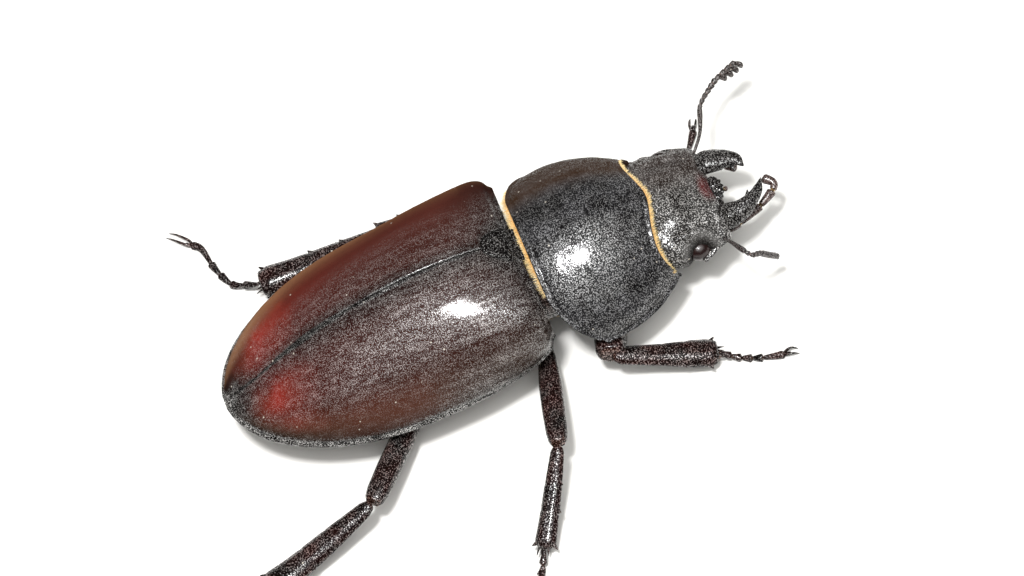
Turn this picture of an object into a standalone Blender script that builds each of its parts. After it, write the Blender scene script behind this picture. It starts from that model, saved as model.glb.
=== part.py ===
"""A female stag beetle at life size, standing still with its head toward -Y and its left side toward +X.

Lengths are in millimetres and become metres in spot(). A station is a distance forward of the wing cases'
tips, so it grows toward the head. The floor is at height 0.
"""

import math

import bmesh
import bpy
from mathutils import Matrix, Vector

MM = 0.001
GAP = 0.08  # between plates that touch in life
MIDDLE = 17.14  # the station half way between the hindmost claw and the foremost feeler tip
SHIFT = 2.79  # moves the body sideways so that the feet's spread is centred on the origin

# Wing cases
TAIL, WIDEST, SHOULDER = -0.4, 13.0, 22.8
CASE_HALF_WIDTH = 7.7
CASE_THICK = 0.7
CASE_TOP = ((TAIL, 4.3), (0.4, 4.75), (2.5, 5.85), (4.7, 7.25), (8, 8.85), (11.2, 9.75), (13.5, 10.22),
            (15.5, 10.43), (16.6, 10.46), (18, 10.39), (20, 10.1), (21.8, 9.55), (SHOULDER, 8.8))
CASE_MARGIN = ((TAIL, 3.95), (5, 3.75), (14, 3.55), (19, 3.7), (SHOULDER, 4.0))
CASE_RISE = ((TAIL, 0.15), (14, 0.25), (17, 0.5), (20, 1.2), (22, 2.0), (SHOULDER, 2.1))  # to the widest line
CASE_FRONT_WIDTH = ((WIDEST, CASE_HALF_WIDTH), (16, 7.68), (19, 7.5), (21, 7.25), (22, 6.88), (22.5, 6.35),
                    (SHOULDER, 5.75))
CASE_SQUARENESS = ((TAIL, 1.9), (8, 1.85), (12, 1.9), (16, 2.15), (20, 2.6), (21.5, 2.8), (SHOULDER, 3.1))
CASE_TUCK = 0.3  # how far the sides draw in below the widest line, for each millimetre down
FOOT = 0.88  # the share of an arch above its widest line
CASE_STATIONS = (TAIL + 0.05, -0.15, 0.4, 1.2, 2.4, 4, 6, 8.5, 11, 13.5, 16, 18, 19.6, 20.9, 21.8, 22.4,
                 SHOULDER)
SCUTELLUM_TIP, SCUTELLUM_BASE, SCUTELLUM_HALF_WIDTH = 20.4, 22.6, 1.35

# Belly, under the wing cases
BELLY_FROM, BELLY_TO, BELLY_SPLIT = 1.2, 21.8, 13.5  # three of CASE_STATIONS
BELLY_DEPTH = ((BELLY_FROM, 0.7), (4, 1.3), (8, 1.55), (13, 1.7), (18, 1.75), (BELLY_TO, 1.6))
WAIST_TO, WAIST_HALF_WIDTH, WAIST_TOP, WAIST_UNDER = 24.3, 4.1, 7.6, 2.7

# Pronotum, the shield behind the head
PRONOTUM_THICK = 0.6
PRONOTUM_REAR, PRONOTUM_FRONT, REAR_CUT, FRONT_WAVE = 23.15, 32.4, 2.9, 0.8
PRONOTUM_HALF_WIDTH = ((PRONOTUM_REAR, 6.5), (24, 6.95), (25.6, 7.25), (26.5, 7.35), (28, 7.2), (30, 6.65),
                       (31.5, 5.85), (32.6, 5.0))
PRONOTUM_MARGIN = ((PRONOTUM_REAR, 4.4), (26, 4.05), (30, 4.0), (32.6, 4.2))
PRONOTUM_TOP = ((PRONOTUM_REAR, 8.75), (25, 9.1), (27, 9.2), (29, 9.0), (31, 8.45), (32.6, 7.85))
PRONOTUM_SQUARENESS = 1.9
THROAT_FRONT, THROAT_DEPTH = 31.3, 2.0

# Head
HEAD_REAR, HEAD_FRONT = 31.4, 36.9
HEAD_HALF_WIDTH = ((HEAD_REAR, 4.1), (32.4, 4.35), (33.2, 4.65), (34.2, 4.7), (35.2, 4.5), (36.2, 4.0),
                   (HEAD_FRONT, 3.3))
HEAD_TOP = ((HEAD_REAR, 6.75), (33, 6.95), (34.5, 6.7), (36, 6.1), (HEAD_FRONT, 5.65))
HEAD_UNDER = ((HEAD_REAR, 3.0), (34, 2.9), (HEAD_FRONT, 3.5))
HEAD_WAIST = 4.75  # height of the head's widest line
EYE_AT, EYE_RADIUS = (34.35, 4.2, 4.95), 0.72

# Legs: joints as (station, distance from the midline, height)
FLOOR_RADIUS = 0.3  # a foot's half thickness, and the height of its middle line
COXA = {"front": ((27.4, 2.1, 2.2), (1.2, 1.8, 1.05)),
        "middle": ((21.2, 2.5, 2.1), (1.3, 1.3, 1.1)),
        "hind": ((13.3, 2.9, 2.2), (1.1, 2.5, 0.95))}
LEGS = {
    ("front", "r"): dict(hip=(27.2, 3.5, 1.35), knee=(25.8, 7.85, 2.9), ankle=(32.8, 9.95, 1.05),
                         foot=((34.1, 10.6), (35.3, 11.2), (36.6, 11.6)), claw=(38.0, 11.8)),
    ("front", "l"): dict(hip=(27.2, 3.5, 1.35), knee=(26.6, 6.9, 2.2), ankle=(33.5, 5.75, 0.95),
                         foot=((35.0, 5.8), (36.5, 6.3), (37.5, 7.55)), claw=(38.1, 8.95)),
    ("middle", "r"): dict(hip=(22.0, 3.7, 1.3), knee=(20.05, 12.95, 3.5), ankle=(16.35, 18.75, 1.0),
                          foot=((15.5, 20.0), (14.4, 21.1), (13.1, 22.0)), claw=(11.6, 22.7)),
    ("middle", "l"): dict(hip=(21.0, 3.7, 1.3), knee=(19.0, 9.35, 1.7), ankle=(13.8, 10.1, 0.75),
                          foot=((12.5, 10.2), (11.4, 10.2), (10.3, 10.1)), claw=(8.9, 10.0)),
    ("hind", "r"): dict(hip=(12.8, 4.0, 1.35), knee=(6.65, 11.25, 3.0), ankle=(-2.5, 13.4, 1.0),
                        foot=((-4.0, 14.0), (-5.3, 14.9), (-6.6, 16.0)), claw=(-7.9, 17.2)),
    ("hind", "l"): dict(hip=(12.8, 3.4, 1.35), knee=(15.4, 8.95, 2.2), ankle=(4.7, 9.7, 1.2),
                        foot=((2.75, 11.2), (2.0, 13.0), (1.6, 14.95)), claw=(-0.4, 17.3)),
}
THIGH_WIDTH = {"front": 0.92, "middle": 0.82, "hind": 0.88}
SHIN_WIDTHS = {"front": (0.55, 0.68, 0.78, 0.85, 0.85, 0.5), "middle": (0.38, 0.52, 0.7, 0.7, 0.66, 0.4),
               "hind": (0.38, 0.58, 0.82, 0.96, 1.08, 0.8)}
SHIN_FLATNESS = 0.7  # a shin's half depth for each millimetre of its half width
TEETH = {"front": ((0.45, 1), (0.68, 1), (0.93, 1), (0.93, -1)), "middle": ((0.6, 1), (0.93, 1), (0.93, -1)),
         "hind": ((0.6, 1), (0.93, 1), (0.93, -1))}  # (share of the shin's length, 1 for its outer edge)
TOOTH_REACH, TOOTH_LEAN, TOOTH_RADIUS = 0.3, 0.55, 0.17

# Feelers and mouth: paths as (station, distance from the midline, height)
SCAPE = {"l": ((36.8, 3.4, 4.95), (37.85, 4.75, 5.1), (38.5, 6.4, 5.3)),
         "r": ((36.3, 3.85, 4.85), (36.6, 5.1, 5.9), (37.1, 6.5, 6.6))}
FUNICLE = {"l": ((38.7, 6.7, 5.3), (39.5, 7.45, 5.2), (40.35, 8.1, 5.1)),
           "r": ((37.35, 6.7, 6.35), (38.0, 6.5, 5.6), (38.4, 6.3, 4.8))}
CLUB = {"l": ((40.55, 8.3, 5.05), (42.2, 9.1, 4.8)),
        "r": ((38.5, 6.25, 4.55), (39.4, 5.85, 2.9))}
FEELER_RADIUS = 0.27
MANDIBLE = {
    "l": ((37.0, 2.1, 4.9), (38.0, 2.0, 5.0), (38.85, 1.8, 5.1), (39.6, 1.35, 5.15), (39.95, 0.75, 5.2)),
    "r": ((37.0, 2.1, 4.9), (38.0, 2.15, 5.0), (38.9, 2.0, 5.1), (39.7, 1.55, 5.1), (40.3, 0.7, 5.1)),
}
MANDIBLE_WIDTHS, MANDIBLE_DEPTHS = (1.05, 0.85, 0.65, 0.42, 0.1), (0.7, 0.65, 0.5, 0.35, 0.1)
MANDIBLE_TILT = math.radians(22)
JAW_PALP = {"l": ((37.2, 2.6, 3.4), (38.3, 2.7, 3.0), (39.3, 2.1, 2.9)),
            "r": ((37.2, 2.85, 3.6), (39.1, 2.1, 3.6), (40.9, 1.2, 3.8), (41.05, 0.7, 3.9), (40.5, 0.1, 4.0))}
LIP_PALP = ((37.45, 0.75, 3.25), (37.75, 0.85, 3.05), (38.0, 0.9, 2.85))
PALP_RADIUS = 0.26

FINISHES = {  # colour, roughness
    "wing_case": ((0.055, 0.008, 0.006), 0.3),
    "black_shell": ((0.008, 0.007, 0.007), 0.35),
    "underside": ((0.012, 0.008, 0.007), 0.4),
    "leg": ((0.016, 0.008, 0.006), 0.35),
    "eye": ((0.02, 0.006, 0.005), 0.15),
    "mouthpart": ((0.06, 0.02, 0.008), 0.35),
    "feeler": ((0.03, 0.012, 0.008), 0.35),
}


def clear_scene():
    for thing in list(bpy.data.objects):
        bpy.data.objects.remove(thing, do_unlink=True)


def new_collection(name):
    collection = bpy.data.collections.new(name)
    bpy.context.scene.collection.children.link(collection)
    return collection


def material(name):
    made = bpy.data.materials.get(name)
    if made is None:
        colour, roughness = FINISHES[name]
        made = bpy.data.materials.new(name)
        made.use_nodes = True
        shader = made.node_tree.nodes["Principled BSDF"]
        shader.inputs["Base Color"].default_value = (*colour, 1)
        shader.inputs["Roughness"].default_value = roughness
        shader.inputs["Metallic"].default_value = 0
    return made


def spot(station, across, height):
    """A place on the beetle, in metres. across is positive on the beetle's left."""
    return Vector((across + SHIFT, MIDDLE - station, height)) * MM


def profile(knots):
    """A smooth line through (station, value) pairs that never passes above or below its neighbours."""
    at, value = zip(*knots)
    slopes = [(value[i + 1] - value[i]) / (at[i + 1] - at[i]) for i in range(len(at) - 1)]
    bends = [slopes[0]] + [2 * a * b / (a + b) if a * b > 0 else 0 for a, b in zip(slopes, slopes[1:])]
    bends.append(slopes[-1])

    def read(station):
        i = max(k for k in range(len(slopes)) if station >= at[k] or k == 0)
        span = at[i + 1] - at[i]
        t = min(max((station - at[i]) / span, 0), 1)
        rise = (2 * t - 3) * t * t
        return ((1 + rise) * value[i] - rise * value[i + 1]
                + span * t * (1 - t) * ((1 - t) * bends[i] - t * bends[i + 1]))

    return read


case_top, case_margin, case_squareness = profile(CASE_TOP), profile(CASE_MARGIN), profile(CASE_SQUARENESS)
case_rise = profile(CASE_RISE)
case_front_width, belly_depth = profile(CASE_FRONT_WIDTH), profile(BELLY_DEPTH)
pronotum_half_width, pronotum_margin = profile(PRONOTUM_HALF_WIDTH), profile(PRONOTUM_MARGIN)
pronotum_top = profile(PRONOTUM_TOP)
head_half_width, head_top, head_under = profile(HEAD_HALF_WIDTH), profile(HEAD_TOP), profile(HEAD_UNDER)


def case_half_width(station):
    """Rounded like an egg's end behind the widest station, and by the shoulders' own line in front of it."""
    if station >= WIDEST:
        return case_front_width(station)
    back = (WIDEST - station) / (WIDEST - TAIL)
    return CASE_HALF_WIDTH * max(1 - back ** 2.2, 0) ** 0.526


def arch(half_width, base, top, squareness, turn):
    """(across, height) on an arch. turn runs from -1 at the right foot over 0 at the top to 1 at the left."""
    angle = turn * math.pi / 2
    side, up = math.sin(angle), max(math.cos(angle), 0)
    power = 2 / squareness
    return half_width * math.copysign(abs(side) ** power, side), base + (top - base) * up ** power


def spread(first, last, count):
    return [first + (last - first) * i / (count - 1) for i in range(count)]


def add_object(name, mesh, finish, collection):
    thing = bpy.data.objects.new(name, mesh)
    if finish:
        mesh.materials.append(material(finish))
    collection.objects.link(thing)
    mesh.shade_smooth()
    mesh.set_sharp_from_angle(angle=math.radians(40))
    return thing


def loft(name, rings, finish, collection, shell=False):
    """A closed solid over rings of points. Each end is a fan to its own middle or, on a shell whose rings run out
    along its outer face and back along its inner one, a strip from face to face.
    """
    shape = bmesh.new()
    loops = [[shape.verts.new(point) for point in ring] for ring in rings]
    for one, two in zip(loops, loops[1:]):
        for i in range(len(one)):
            j = (i + 1) % len(one)
            shape.faces.new((one[i], one[j], two[j], two[i]))
    for loop in (loops[0], loops[-1]):
        if shell:
            for i in range(len(loop) // 2 - 1):
                shape.faces.new((loop[i], loop[i + 1], loop[-i - 2], loop[-i - 1]))
        else:
            middle = shape.verts.new(sum((v.co for v in loop), Vector()) / len(loop))
            for i in range(len(loop)):
                shape.faces.new((loop[i], loop[(i + 1) % len(loop)], middle))
    bmesh.ops.recalc_face_normals(shape, faces=shape.faces)
    mesh = bpy.data.meshes.new(name)
    shape.to_mesh(mesh)
    shape.free()
    return add_object(name, mesh, finish, collection)


def ball(name, centre, radii, finish, collection, segments=16, rings=8):
    """An ellipsoid with radii along (station, across, height)."""
    shape = bmesh.new()
    bmesh.ops.create_uvsphere(shape, u_segments=segments, v_segments=rings, radius=MM)
    bmesh.ops.scale(shape, vec=(radii[1], radii[0], radii[2]), verts=shape.verts)
    bmesh.ops.translate(shape, vec=spot(*centre), verts=shape.verts)
    mesh = bpy.data.meshes.new(name)
    shape.to_mesh(mesh)
    shape.free()
    return add_object(name, mesh, finish, collection)


def section(path, index):
    """The unit vectors along, sideways and upward at one point of a path."""
    before, after = path[max(index - 1, 0)], path[min(index + 1, len(path) - 1)]
    along = (after - before).normalized()
    sideways = along.cross(Vector((0, 0, 1))).normalized()
    return along, sideways, sideways.cross(along)


def limb(name, path, widths, depths, finish, collection, tilt=0.0, sides=8):
    """A solid of oval sections along a path. widths and depths are half sizes in millimetres."""
    rings = []
    for i, point in enumerate(path):
        along, sideways, upward = section(path, i)
        turned = Matrix.Rotation(tilt, 3, along)
        sideways, upward = turned @ sideways, turned @ upward
        angles = [2 * math.pi * (k + 0.5) / sides for k in range(sides)]
        rings.append([point + (sideways * widths[i] * math.cos(a) + upward * depths[i] * math.sin(a)) * MM
                      for a in angles])
    return loft(name, rings, finish, collection)


def tube(name, path, radii, finish, collection, turns=2):
    """A round rod along a smooth curve, with a thickness of its own at each point, as a welded mesh."""
    curve = bpy.data.curves.new(name, "CURVE")
    curve.dimensions = "3D"
    curve.bevel_depth = MM
    curve.bevel_resolution = 1
    curve.use_fill_caps = True
    curve.resolution_u = turns
    spline = curve.splines.new("BEZIER")
    spline.bezier_points.add(len(path) - 1)
    for point, place, radius in zip(spline.bezier_points, path, radii):
        point.co, point.radius = place, radius
        point.handle_left_type = point.handle_right_type = "AUTO"
    guide = bpy.data.objects.new(name, curve)
    collection.objects.link(guide)
    seen = guide.evaluated_get(bpy.context.evaluated_depsgraph_get())
    mesh = bpy.data.meshes.new_from_object(seen)
    shape = bmesh.new()
    shape.from_mesh(mesh)
    bmesh.ops.remove_doubles(shape, verts=shape.verts, dist=1e-6)
    bmesh.ops.recalc_face_normals(shape, faces=shape.faces)
    shape.to_mesh(mesh)
    shape.free()
    mesh.materials.clear()
    bpy.data.objects.remove(guide)
    return add_object(name, mesh, finish, collection)


def boolean(target, other, operation):
    step = target.modifiers.new(operation.lower(), "BOOLEAN")
    step.operation, step.solver, step.object = operation, "EXACT", other
    other.display_type = "WIRE"
    other.hide_render = True


def case_section(station, inward, turn):
    """(across, height) on the wing cases' dome, or a distance inside it: an arch, then sides that draw in."""
    rise = case_rise(station)
    base, top = case_margin(station) + rise, case_top(station)
    inward = min(inward, 0.6 * case_half_width(station), 0.6 * (top - base))
    width = case_half_width(station) - inward
    if abs(turn) <= FOOT:
        return arch(width, base, top - inward, case_squareness(station), turn / FOOT)
    down = rise * (abs(turn) - FOOT) / (1 - FOOT)
    return math.copysign(width - CASE_TUCK * down, turn), base - down


def build_wing_cases(collection, cutters):
    """Two domed shells that meet along the back, let in around the scutellum."""
    turns = spread(0, FOOT, 8) + [1]
    for side, letter in ((1, "l"), (-1, "r")):
        rings = []
        for station in CASE_STATIONS:
            outer = [case_section(station, 0, turn) for turn in turns]
            inner = [case_section(station, CASE_THICK, turn) for turn in reversed(turns)]
            rings.append([spot(station, side * max(across, GAP / 2), height) for across, height in outer + inner])
        case = loft(f"wing_case_{letter}", rings, "wing_case", collection, shell=True)
        boolean(case, scutellum_outline(f"scutellum_gap_{letter}", GAP, cutters), "DIFFERENCE")


def scutellum_outline(name, margin, collection):
    """An upright prism with a rounded triangle for its outline, open past the wing cases' front."""
    tip, base = spot(SCUTELLUM_TIP - margin, 0, 0), spot(SCUTELLUM_BASE + 0.6, 0, 0)
    half = (SCUTELLUM_HALF_WIDTH + margin) * MM
    length = tip.y - base.y
    outline = [Vector((tip.x + half * math.sin(a), tip.y - length * (1 - math.cos(a)), 0))
               for a in [math.radians(d) for d in (-90, -60, -35, -15, 15, 35, 60, 90)]]
    rings = [[point + Vector((0, 0, height * MM)) for point in outline] for height in (6.5, 12)]
    return loft(name, rings, None, collection)


def build_scutellum(collection, cutters):
    """The small plate between the wing cases' bases, cut from the same dome."""
    turns = spread(-0.25, 0.25, 7)
    rings = []
    for station in spread(SCUTELLUM_TIP - 0.4, SCUTELLUM_BASE + 0.2, 5):
        outer = [case_section(station, 0.12, turn) for turn in turns]
        inner = [case_section(station, CASE_THICK, turn) for turn in reversed(turns)]
        rings.append([spot(station, *point) for point in outer + inner])
    plate = loft("scutellum", rings, "black_shell", collection, shell=True)
    boolean(plate, scutellum_outline("scutellum_shape", 0, cutters), "INTERSECT")


def belly_ring(station, turns):
    """The closed section under the wing cases: their inner arch above and a shallow keel below."""
    inward = CASE_THICK + GAP
    above = [case_section(station, inward, turn) for turn in turns]
    width, margin = above[-1][0], case_margin(station)
    below = [arch(width, margin, margin - belly_depth(station), 1.9, turn) for turn in reversed(turns)][1:-1]
    return [spot(station, *point) for point in above + below]


def build_trunk(collection):
    """The abdomen and, in front of it, the chest that carries the middle and hind legs, with its narrow waist."""
    turns = [-1] + spread(-FOOT, FOOT, 15) + [1]
    back = [belly_ring(station, turns) for station in CASE_STATIONS if BELLY_FROM <= station < BELLY_SPLIT]
    back.append(belly_ring(BELLY_SPLIT - GAP, turns))
    abdomen = loft("abdomen", back, "underside", collection)
    rings = [belly_ring(station, turns) for station in CASE_STATIONS if BELLY_SPLIT <= station <= BELLY_TO]
    for station in (SHOULDER, WAIST_TO):
        above = [arch(WAIST_HALF_WIDTH, 4.6, WAIST_TOP, 2, turn) for turn in turns]
        below = [arch(WAIST_HALF_WIDTH, 4.6, WAIST_UNDER, 2, turn) for turn in reversed(turns)][1:-1]
        rings.append([spot(station, *point) for point in above + below])
    return abdomen, loft("chest", rings, "underside", collection)


def pronotum_rear(turn):
    """Straight across the back, then cut obliquely forward down to the hind corners."""
    return PRONOTUM_REAR + REAR_CUT * max((abs(turn) - 0.48) / 0.52, 0) ** 1.6


def pronotum_front(turn):
    """A double wave: forward in the middle and at the corners."""
    return PRONOTUM_FRONT - FRONT_WAVE * math.sin(math.pi * abs(turn)) ** 2 + 0.2 * abs(turn)


def pronotum_point(along, turn, inward, rear_gap=0.0, front=None):
    rear, front = pronotum_rear(turn) + rear_gap, front or pronotum_front(turn)
    station = rear + (front - rear) * along
    return spot(station, *arch(pronotum_half_width(station) - inward, pronotum_margin(station),
                               pronotum_top(station) - inward, PRONOTUM_SQUARENESS, turn))


def build_pronotum(collection):
    turns = spread(-1, 1, 17)
    rings = []
    for along in (0, 0.06, 0.18, 0.32, 0.46, 0.6, 0.74, 0.87, 1):
        outer = [pronotum_point(along, turn, 0) for turn in turns]
        inner = [pronotum_point(along, turn, PRONOTUM_THICK) for turn in reversed(turns)]
        rings.append(outer + inner)
    loft("pronotum", rings, "black_shell", collection, shell=True)


def build_throat(collection):
    """The front chest inside and below the pronotum."""
    turns = spread(-1, 1, 13)
    inward = PRONOTUM_THICK + GAP
    rings = []
    for along in spread(0, 1, 7):
        above = [pronotum_point(along, turn, inward, rear_gap=1.2, front=THROAT_FRONT) for turn in turns]
        below = []
        for turn in list(reversed(turns))[1:-1]:
            edge = pronotum_rear(1) + 1.2
            rear = edge - (edge - 24.6) * (1 - turn * turn)
            station = rear + (THROAT_FRONT - rear) * along
            margin = pronotum_margin(station)
            depth = THROAT_DEPTH * (1 - 0.35 * along * along)
            width = pronotum_half_width(station) - inward
            below.append(spot(station, *arch(width, margin, margin - depth, 1.9, turn)))
        rings.append(above + below)
    return loft("throat", rings, "underside", collection)


def head_ring(station, grow=0.0):
    turns = spread(-1, 1, 11)
    width = head_half_width(station) + grow
    above = [arch(width, HEAD_WAIST, head_top(station) + grow, 2.1, turn) for turn in turns]
    below = [arch(width, HEAD_WAIST, head_under(station) - grow, 2.3, turn) for turn in reversed(turns)][1:-1]
    return [spot(station, *point) for point in above + below]


def build_head(collection, cutters):
    stations = (HEAD_REAR, 32.2, 33.1, 34.1, 35.1, 36.0, 36.6, HEAD_FRONT)
    head = loft("head", [head_ring(station) for station in stations], "black_shell", collection)
    for side, letter in ((1, "l"), (-1, "r")):
        station, across, height = EYE_AT
        place = (station, side * across, height)
        radii = (EYE_RADIUS, EYE_RADIUS * 0.85, EYE_RADIUS * 0.9)
        ball(f"eye_{letter}", place, radii, "eye", collection, 12, 8)
        socket = ball(f"eye_socket_{letter}", place, [r + GAP for r in radii], None, cutters, 12, 8)
        boolean(head, socket, "DIFFERENCE")


def build_mouth(collection):
    """Upper lip, chin plate, the two biting mandibles and the four palps."""
    lip = [[spot(station, across, height) for across, height in
            ((-half, 5.0), (-half * 0.6, top), (half * 0.6, top), (half, 5.0), (half * 0.6, 4.35),
             (-half * 0.6, 4.35))]
           for station, half, top in ((36.98, 1.0, 5.5), (37.4, 0.9, 5.35), (37.75, 0.5, 5.1))]
    loft("labrum", lip, "mouthpart", collection)
    chin = [[spot(station, *arch(half, 3.35, height, 2.4, turn)) for turn in spread(-1, 1, 7)]
            for station, half, height in ((37.0, 1.9, 4.1), (37.35, 1.5, 4.0))]
    loft("mentum", chin, "mouthpart", collection)
    for side, letter in ((1, "l"), (-1, "r")):
        jaw = [spot(a, side * b, c) for a, b, c in MANDIBLE[letter]]
        limb(f"mandible_{letter}", jaw, MANDIBLE_WIDTHS, MANDIBLE_DEPTHS, "black_shell", collection,
             tilt=side * MANDIBLE_TILT)
        palp = [spot(a, side * b, c) for a, b, c in JAW_PALP[letter]]
        tube(f"maxillary_palp_{letter}", palp, [PALP_RADIUS] * len(palp), "mouthpart", collection)
        palp = [spot(a, side * b, c) for a, b, c in LIP_PALP]
        tube(f"labial_palp_{letter}", palp, [PALP_RADIUS] * len(palp), "mouthpart", collection)


def build_feelers(collection):
    """Each feeler is a long scape, a bent stalk of beads and a club with four leaves like a comb."""
    for side, letter in ((1, "l"), (-1, "r")):
        scape = [spot(a, side * b, c) for a, b, c in SCAPE[letter]]
        tube(f"scape_{letter}", scape, (0.26, 0.27, 0.36), "feeler", collection)
        stalk = [spot(a, side * b, c) for a, b, c in FUNICLE[letter]]
        tube(f"funicle_{letter}", stalk, (0.26, 0.27, 0.28), "feeler", collection)
        start, end = [spot(a, side * b, c) for a, b, c in CLUB[letter]]
        rod = [start.lerp(end, t) for t in (0, 0.5, 1)]
        club = tube(f"club_{letter}", rod, (0.27, 0.3, 0.27), "feeler", collection)
        along = (end - start).normalized()
        inward = along.cross(Vector((0, 0, side))).normalized()
        for number in range(4):
            root = start.lerp(end, 0.2 + 0.25 * number)
            tip = root + (inward * 0.7 + along * 0.2) * MM
            leaf = limb(f"club_leaf_{letter}_{number + 1}", [root.lerp(tip, t) for t in (-0.2, 0.3, 0.8, 1)],
                        (0.16, 0.2, 0.17, 0.08), (0.26, 0.36, 0.3, 0.12), None, bpy.data.collections["cutters"],
                        sides=6)
            boolean(club, leaf, "UNION")


def between(start, end, fractions):
    return [start.lerp(end, fraction) for fraction in fractions]


def shin_start(hip, knee, ankle, thigh_half, shin_half):
    """How far past the knee the shin starts, so that it stays clear of the thigh however far it is bent."""
    bend = (hip - knee).angle(ankle - knee)
    beside = (thigh_half + shin_half * math.cos(bend) + GAP) / math.sin(bend)
    beyond = (shin_half * math.sin(bend) + 0.3) / -math.cos(bend) if bend > math.radians(100) else beside
    return min(beside, beyond)


def shorten(start, end, before, after):
    """The same line with a length in millimetres taken off each end."""
    along = (end - start).normalized() * MM
    return start + along * before, end - along * after


def build_legs(collection, cutters, plates):
    for (pair, letter), joints in LEGS.items():
        side = 1 if letter == "l" else -1
        hip, knee, ankle = (spot(a, side * b, c) for a, b, c in (joints["hip"], joints["knee"], joints["ankle"]))
        centre, radii = COXA[pair]
        centre = (centre[0], side * centre[1], centre[2])
        ball(f"{pair}_coxa_{letter}", centre, radii, "leg", collection, 12, 6)
        socket = ball(f"{pair}_coxa_socket_{letter}", centre, [r + GAP for r in radii], None, cutters, 12, 6)
        for plate in plates[pair]:
            boolean(plate, socket, "DIFFERENCE")

        start, end = shorten(hip, knee, 0, -0.15)
        shares = (0.55, 0.8, 1, 1, 0.9, 0.72, 0.4)
        widths = [THIGH_WIDTH[pair] * share for share in shares]
        thigh = limb(f"{pair}_femur_{letter}", between(start, end, (0, 0.12, 0.4, 0.7, 0.9, 0.97, 1)), widths,
                     [width * 0.85 for width in widths], "leg", collection)
        boolean(thigh, socket, "DIFFERENCE")

        widths = SHIN_WIDTHS[pair]
        gap = shin_start(hip, knee, ankle, 0.88 * THIGH_WIDTH[pair], widths[0])
        start, end = shorten(knee, ankle, gap, 0)
        shares = (0, 0.07, 0.4, 0.75, 0.93, 1)
        shin = limb(f"{pair}_tibia_{letter}", between(start, end, shares), widths,
                    [max(width * SHIN_FLATNESS, 0.28) for width in widths], "leg", collection)
        away = (end - start).normalized()
        outward = away.cross(Vector((0, 0, 1))).normalized() * (-side if pair == "front" else side)
        for number, (share, edge) in enumerate(TEETH[pair]):
            root = start.lerp(end, share) + outward * edge * 0.3 * MM
            reach = max(w for s, w in zip(shares, widths) if abs(s - share) < 0.3) + TOOTH_REACH
            tip = start.lerp(end, share) + (outward * edge * reach + away * TOOTH_LEAN) * MM
            tooth = limb(f"tooth_{pair}_{letter}_{number + 1}", [root, tip], (TOOTH_RADIUS, 0.06),
                         (TOOTH_RADIUS, 0.06), None, cutters, sides=4)
            boolean(shin, tooth, "UNION")

        toes = [ankle + away * 0.2 * MM] + [spot(a, side * b, FLOOR_RADIUS) for a, b in joints["foot"]]
        claw = spot(joints["claw"][0], side * joints["claw"][1], FLOOR_RADIUS)
        reach = claw - toes[-1]
        toes.append(toes[-1] + reach * 0.35)
        foot = tube(f"{pair}_tarsus_{letter}", toes, (0.28, 0.28, 0.29, 0.29, 0.31), "leg", collection)
        stand_on_floor(foot)

        root = toes[-1] + reach.normalized() * 0.12 * MM
        sideways = reach.cross(Vector((0, 0, 1))).normalized()
        pads = []
        for number, lean in ((1, 1), (2, -1)):
            tip = claw + sideways * lean * 0.45 * MM
            bend = root.lerp(claw, 0.6) + sideways * lean * 0.42 * MM
            pads.append(tube(f"{pair}_claw_{letter}" if number == 1 else f"{pair}_claw_{letter}_twin",
                             (root + sideways * lean * 0.08 * MM, bend, tip), (0.28, 0.27, 0.25), "leg",
                             collection if number == 1 else cutters))
            stand_on_floor(pads[-1])
        boolean(pads[0], pads[1], "UNION")


def stand_on_floor(thing):
    """Cuts a foot flat at the floor."""
    shape = bmesh.new()
    shape.from_mesh(thing.data)
    everything = shape.verts[:] + shape.edges[:] + shape.faces[:]
    cut = bmesh.ops.bisect_plane(shape, geom=everything, dist=1e-7, plane_co=(0, 0, 0), plane_no=(0, 0, -1),
                                 clear_outer=True)
    bmesh.ops.holes_fill(shape, edges=[e for e in cut["geom_cut"] if isinstance(e, bmesh.types.BMEdge)])
    shape.to_mesh(thing.data)
    shape.free()


def main():
    clear_scene()
    beetle = new_collection("stag_beetle")
    cutters = new_collection("cutters")
    build_wing_cases(beetle, cutters)
    build_scutellum(beetle, cutters)
    abdomen, chest = build_trunk(beetle)
    build_pronotum(beetle)
    throat = build_throat(beetle)
    build_head(beetle, cutters)
    build_mouth(beetle)
    build_feelers(beetle)
    build_legs(beetle, cutters, {"front": (throat,), "middle": (chest,), "hind": (abdomen, chest)})


main()
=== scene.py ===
"""A female stag beetle at life size: its finished surfaces, bristles, lights and camera.

Shapes are worked out in millimetres, as places (across, -station, height). across grows toward the beetle's left,
a station is a distance forward of the wing cases' tips, and the floor is at height 0. Tables list their points as
(station, across, height), for the left side. place() turns the millimetres to metres.
"""
import math

import bmesh
import bpy
import numpy as np
from mathutils import Matrix, Vector


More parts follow.
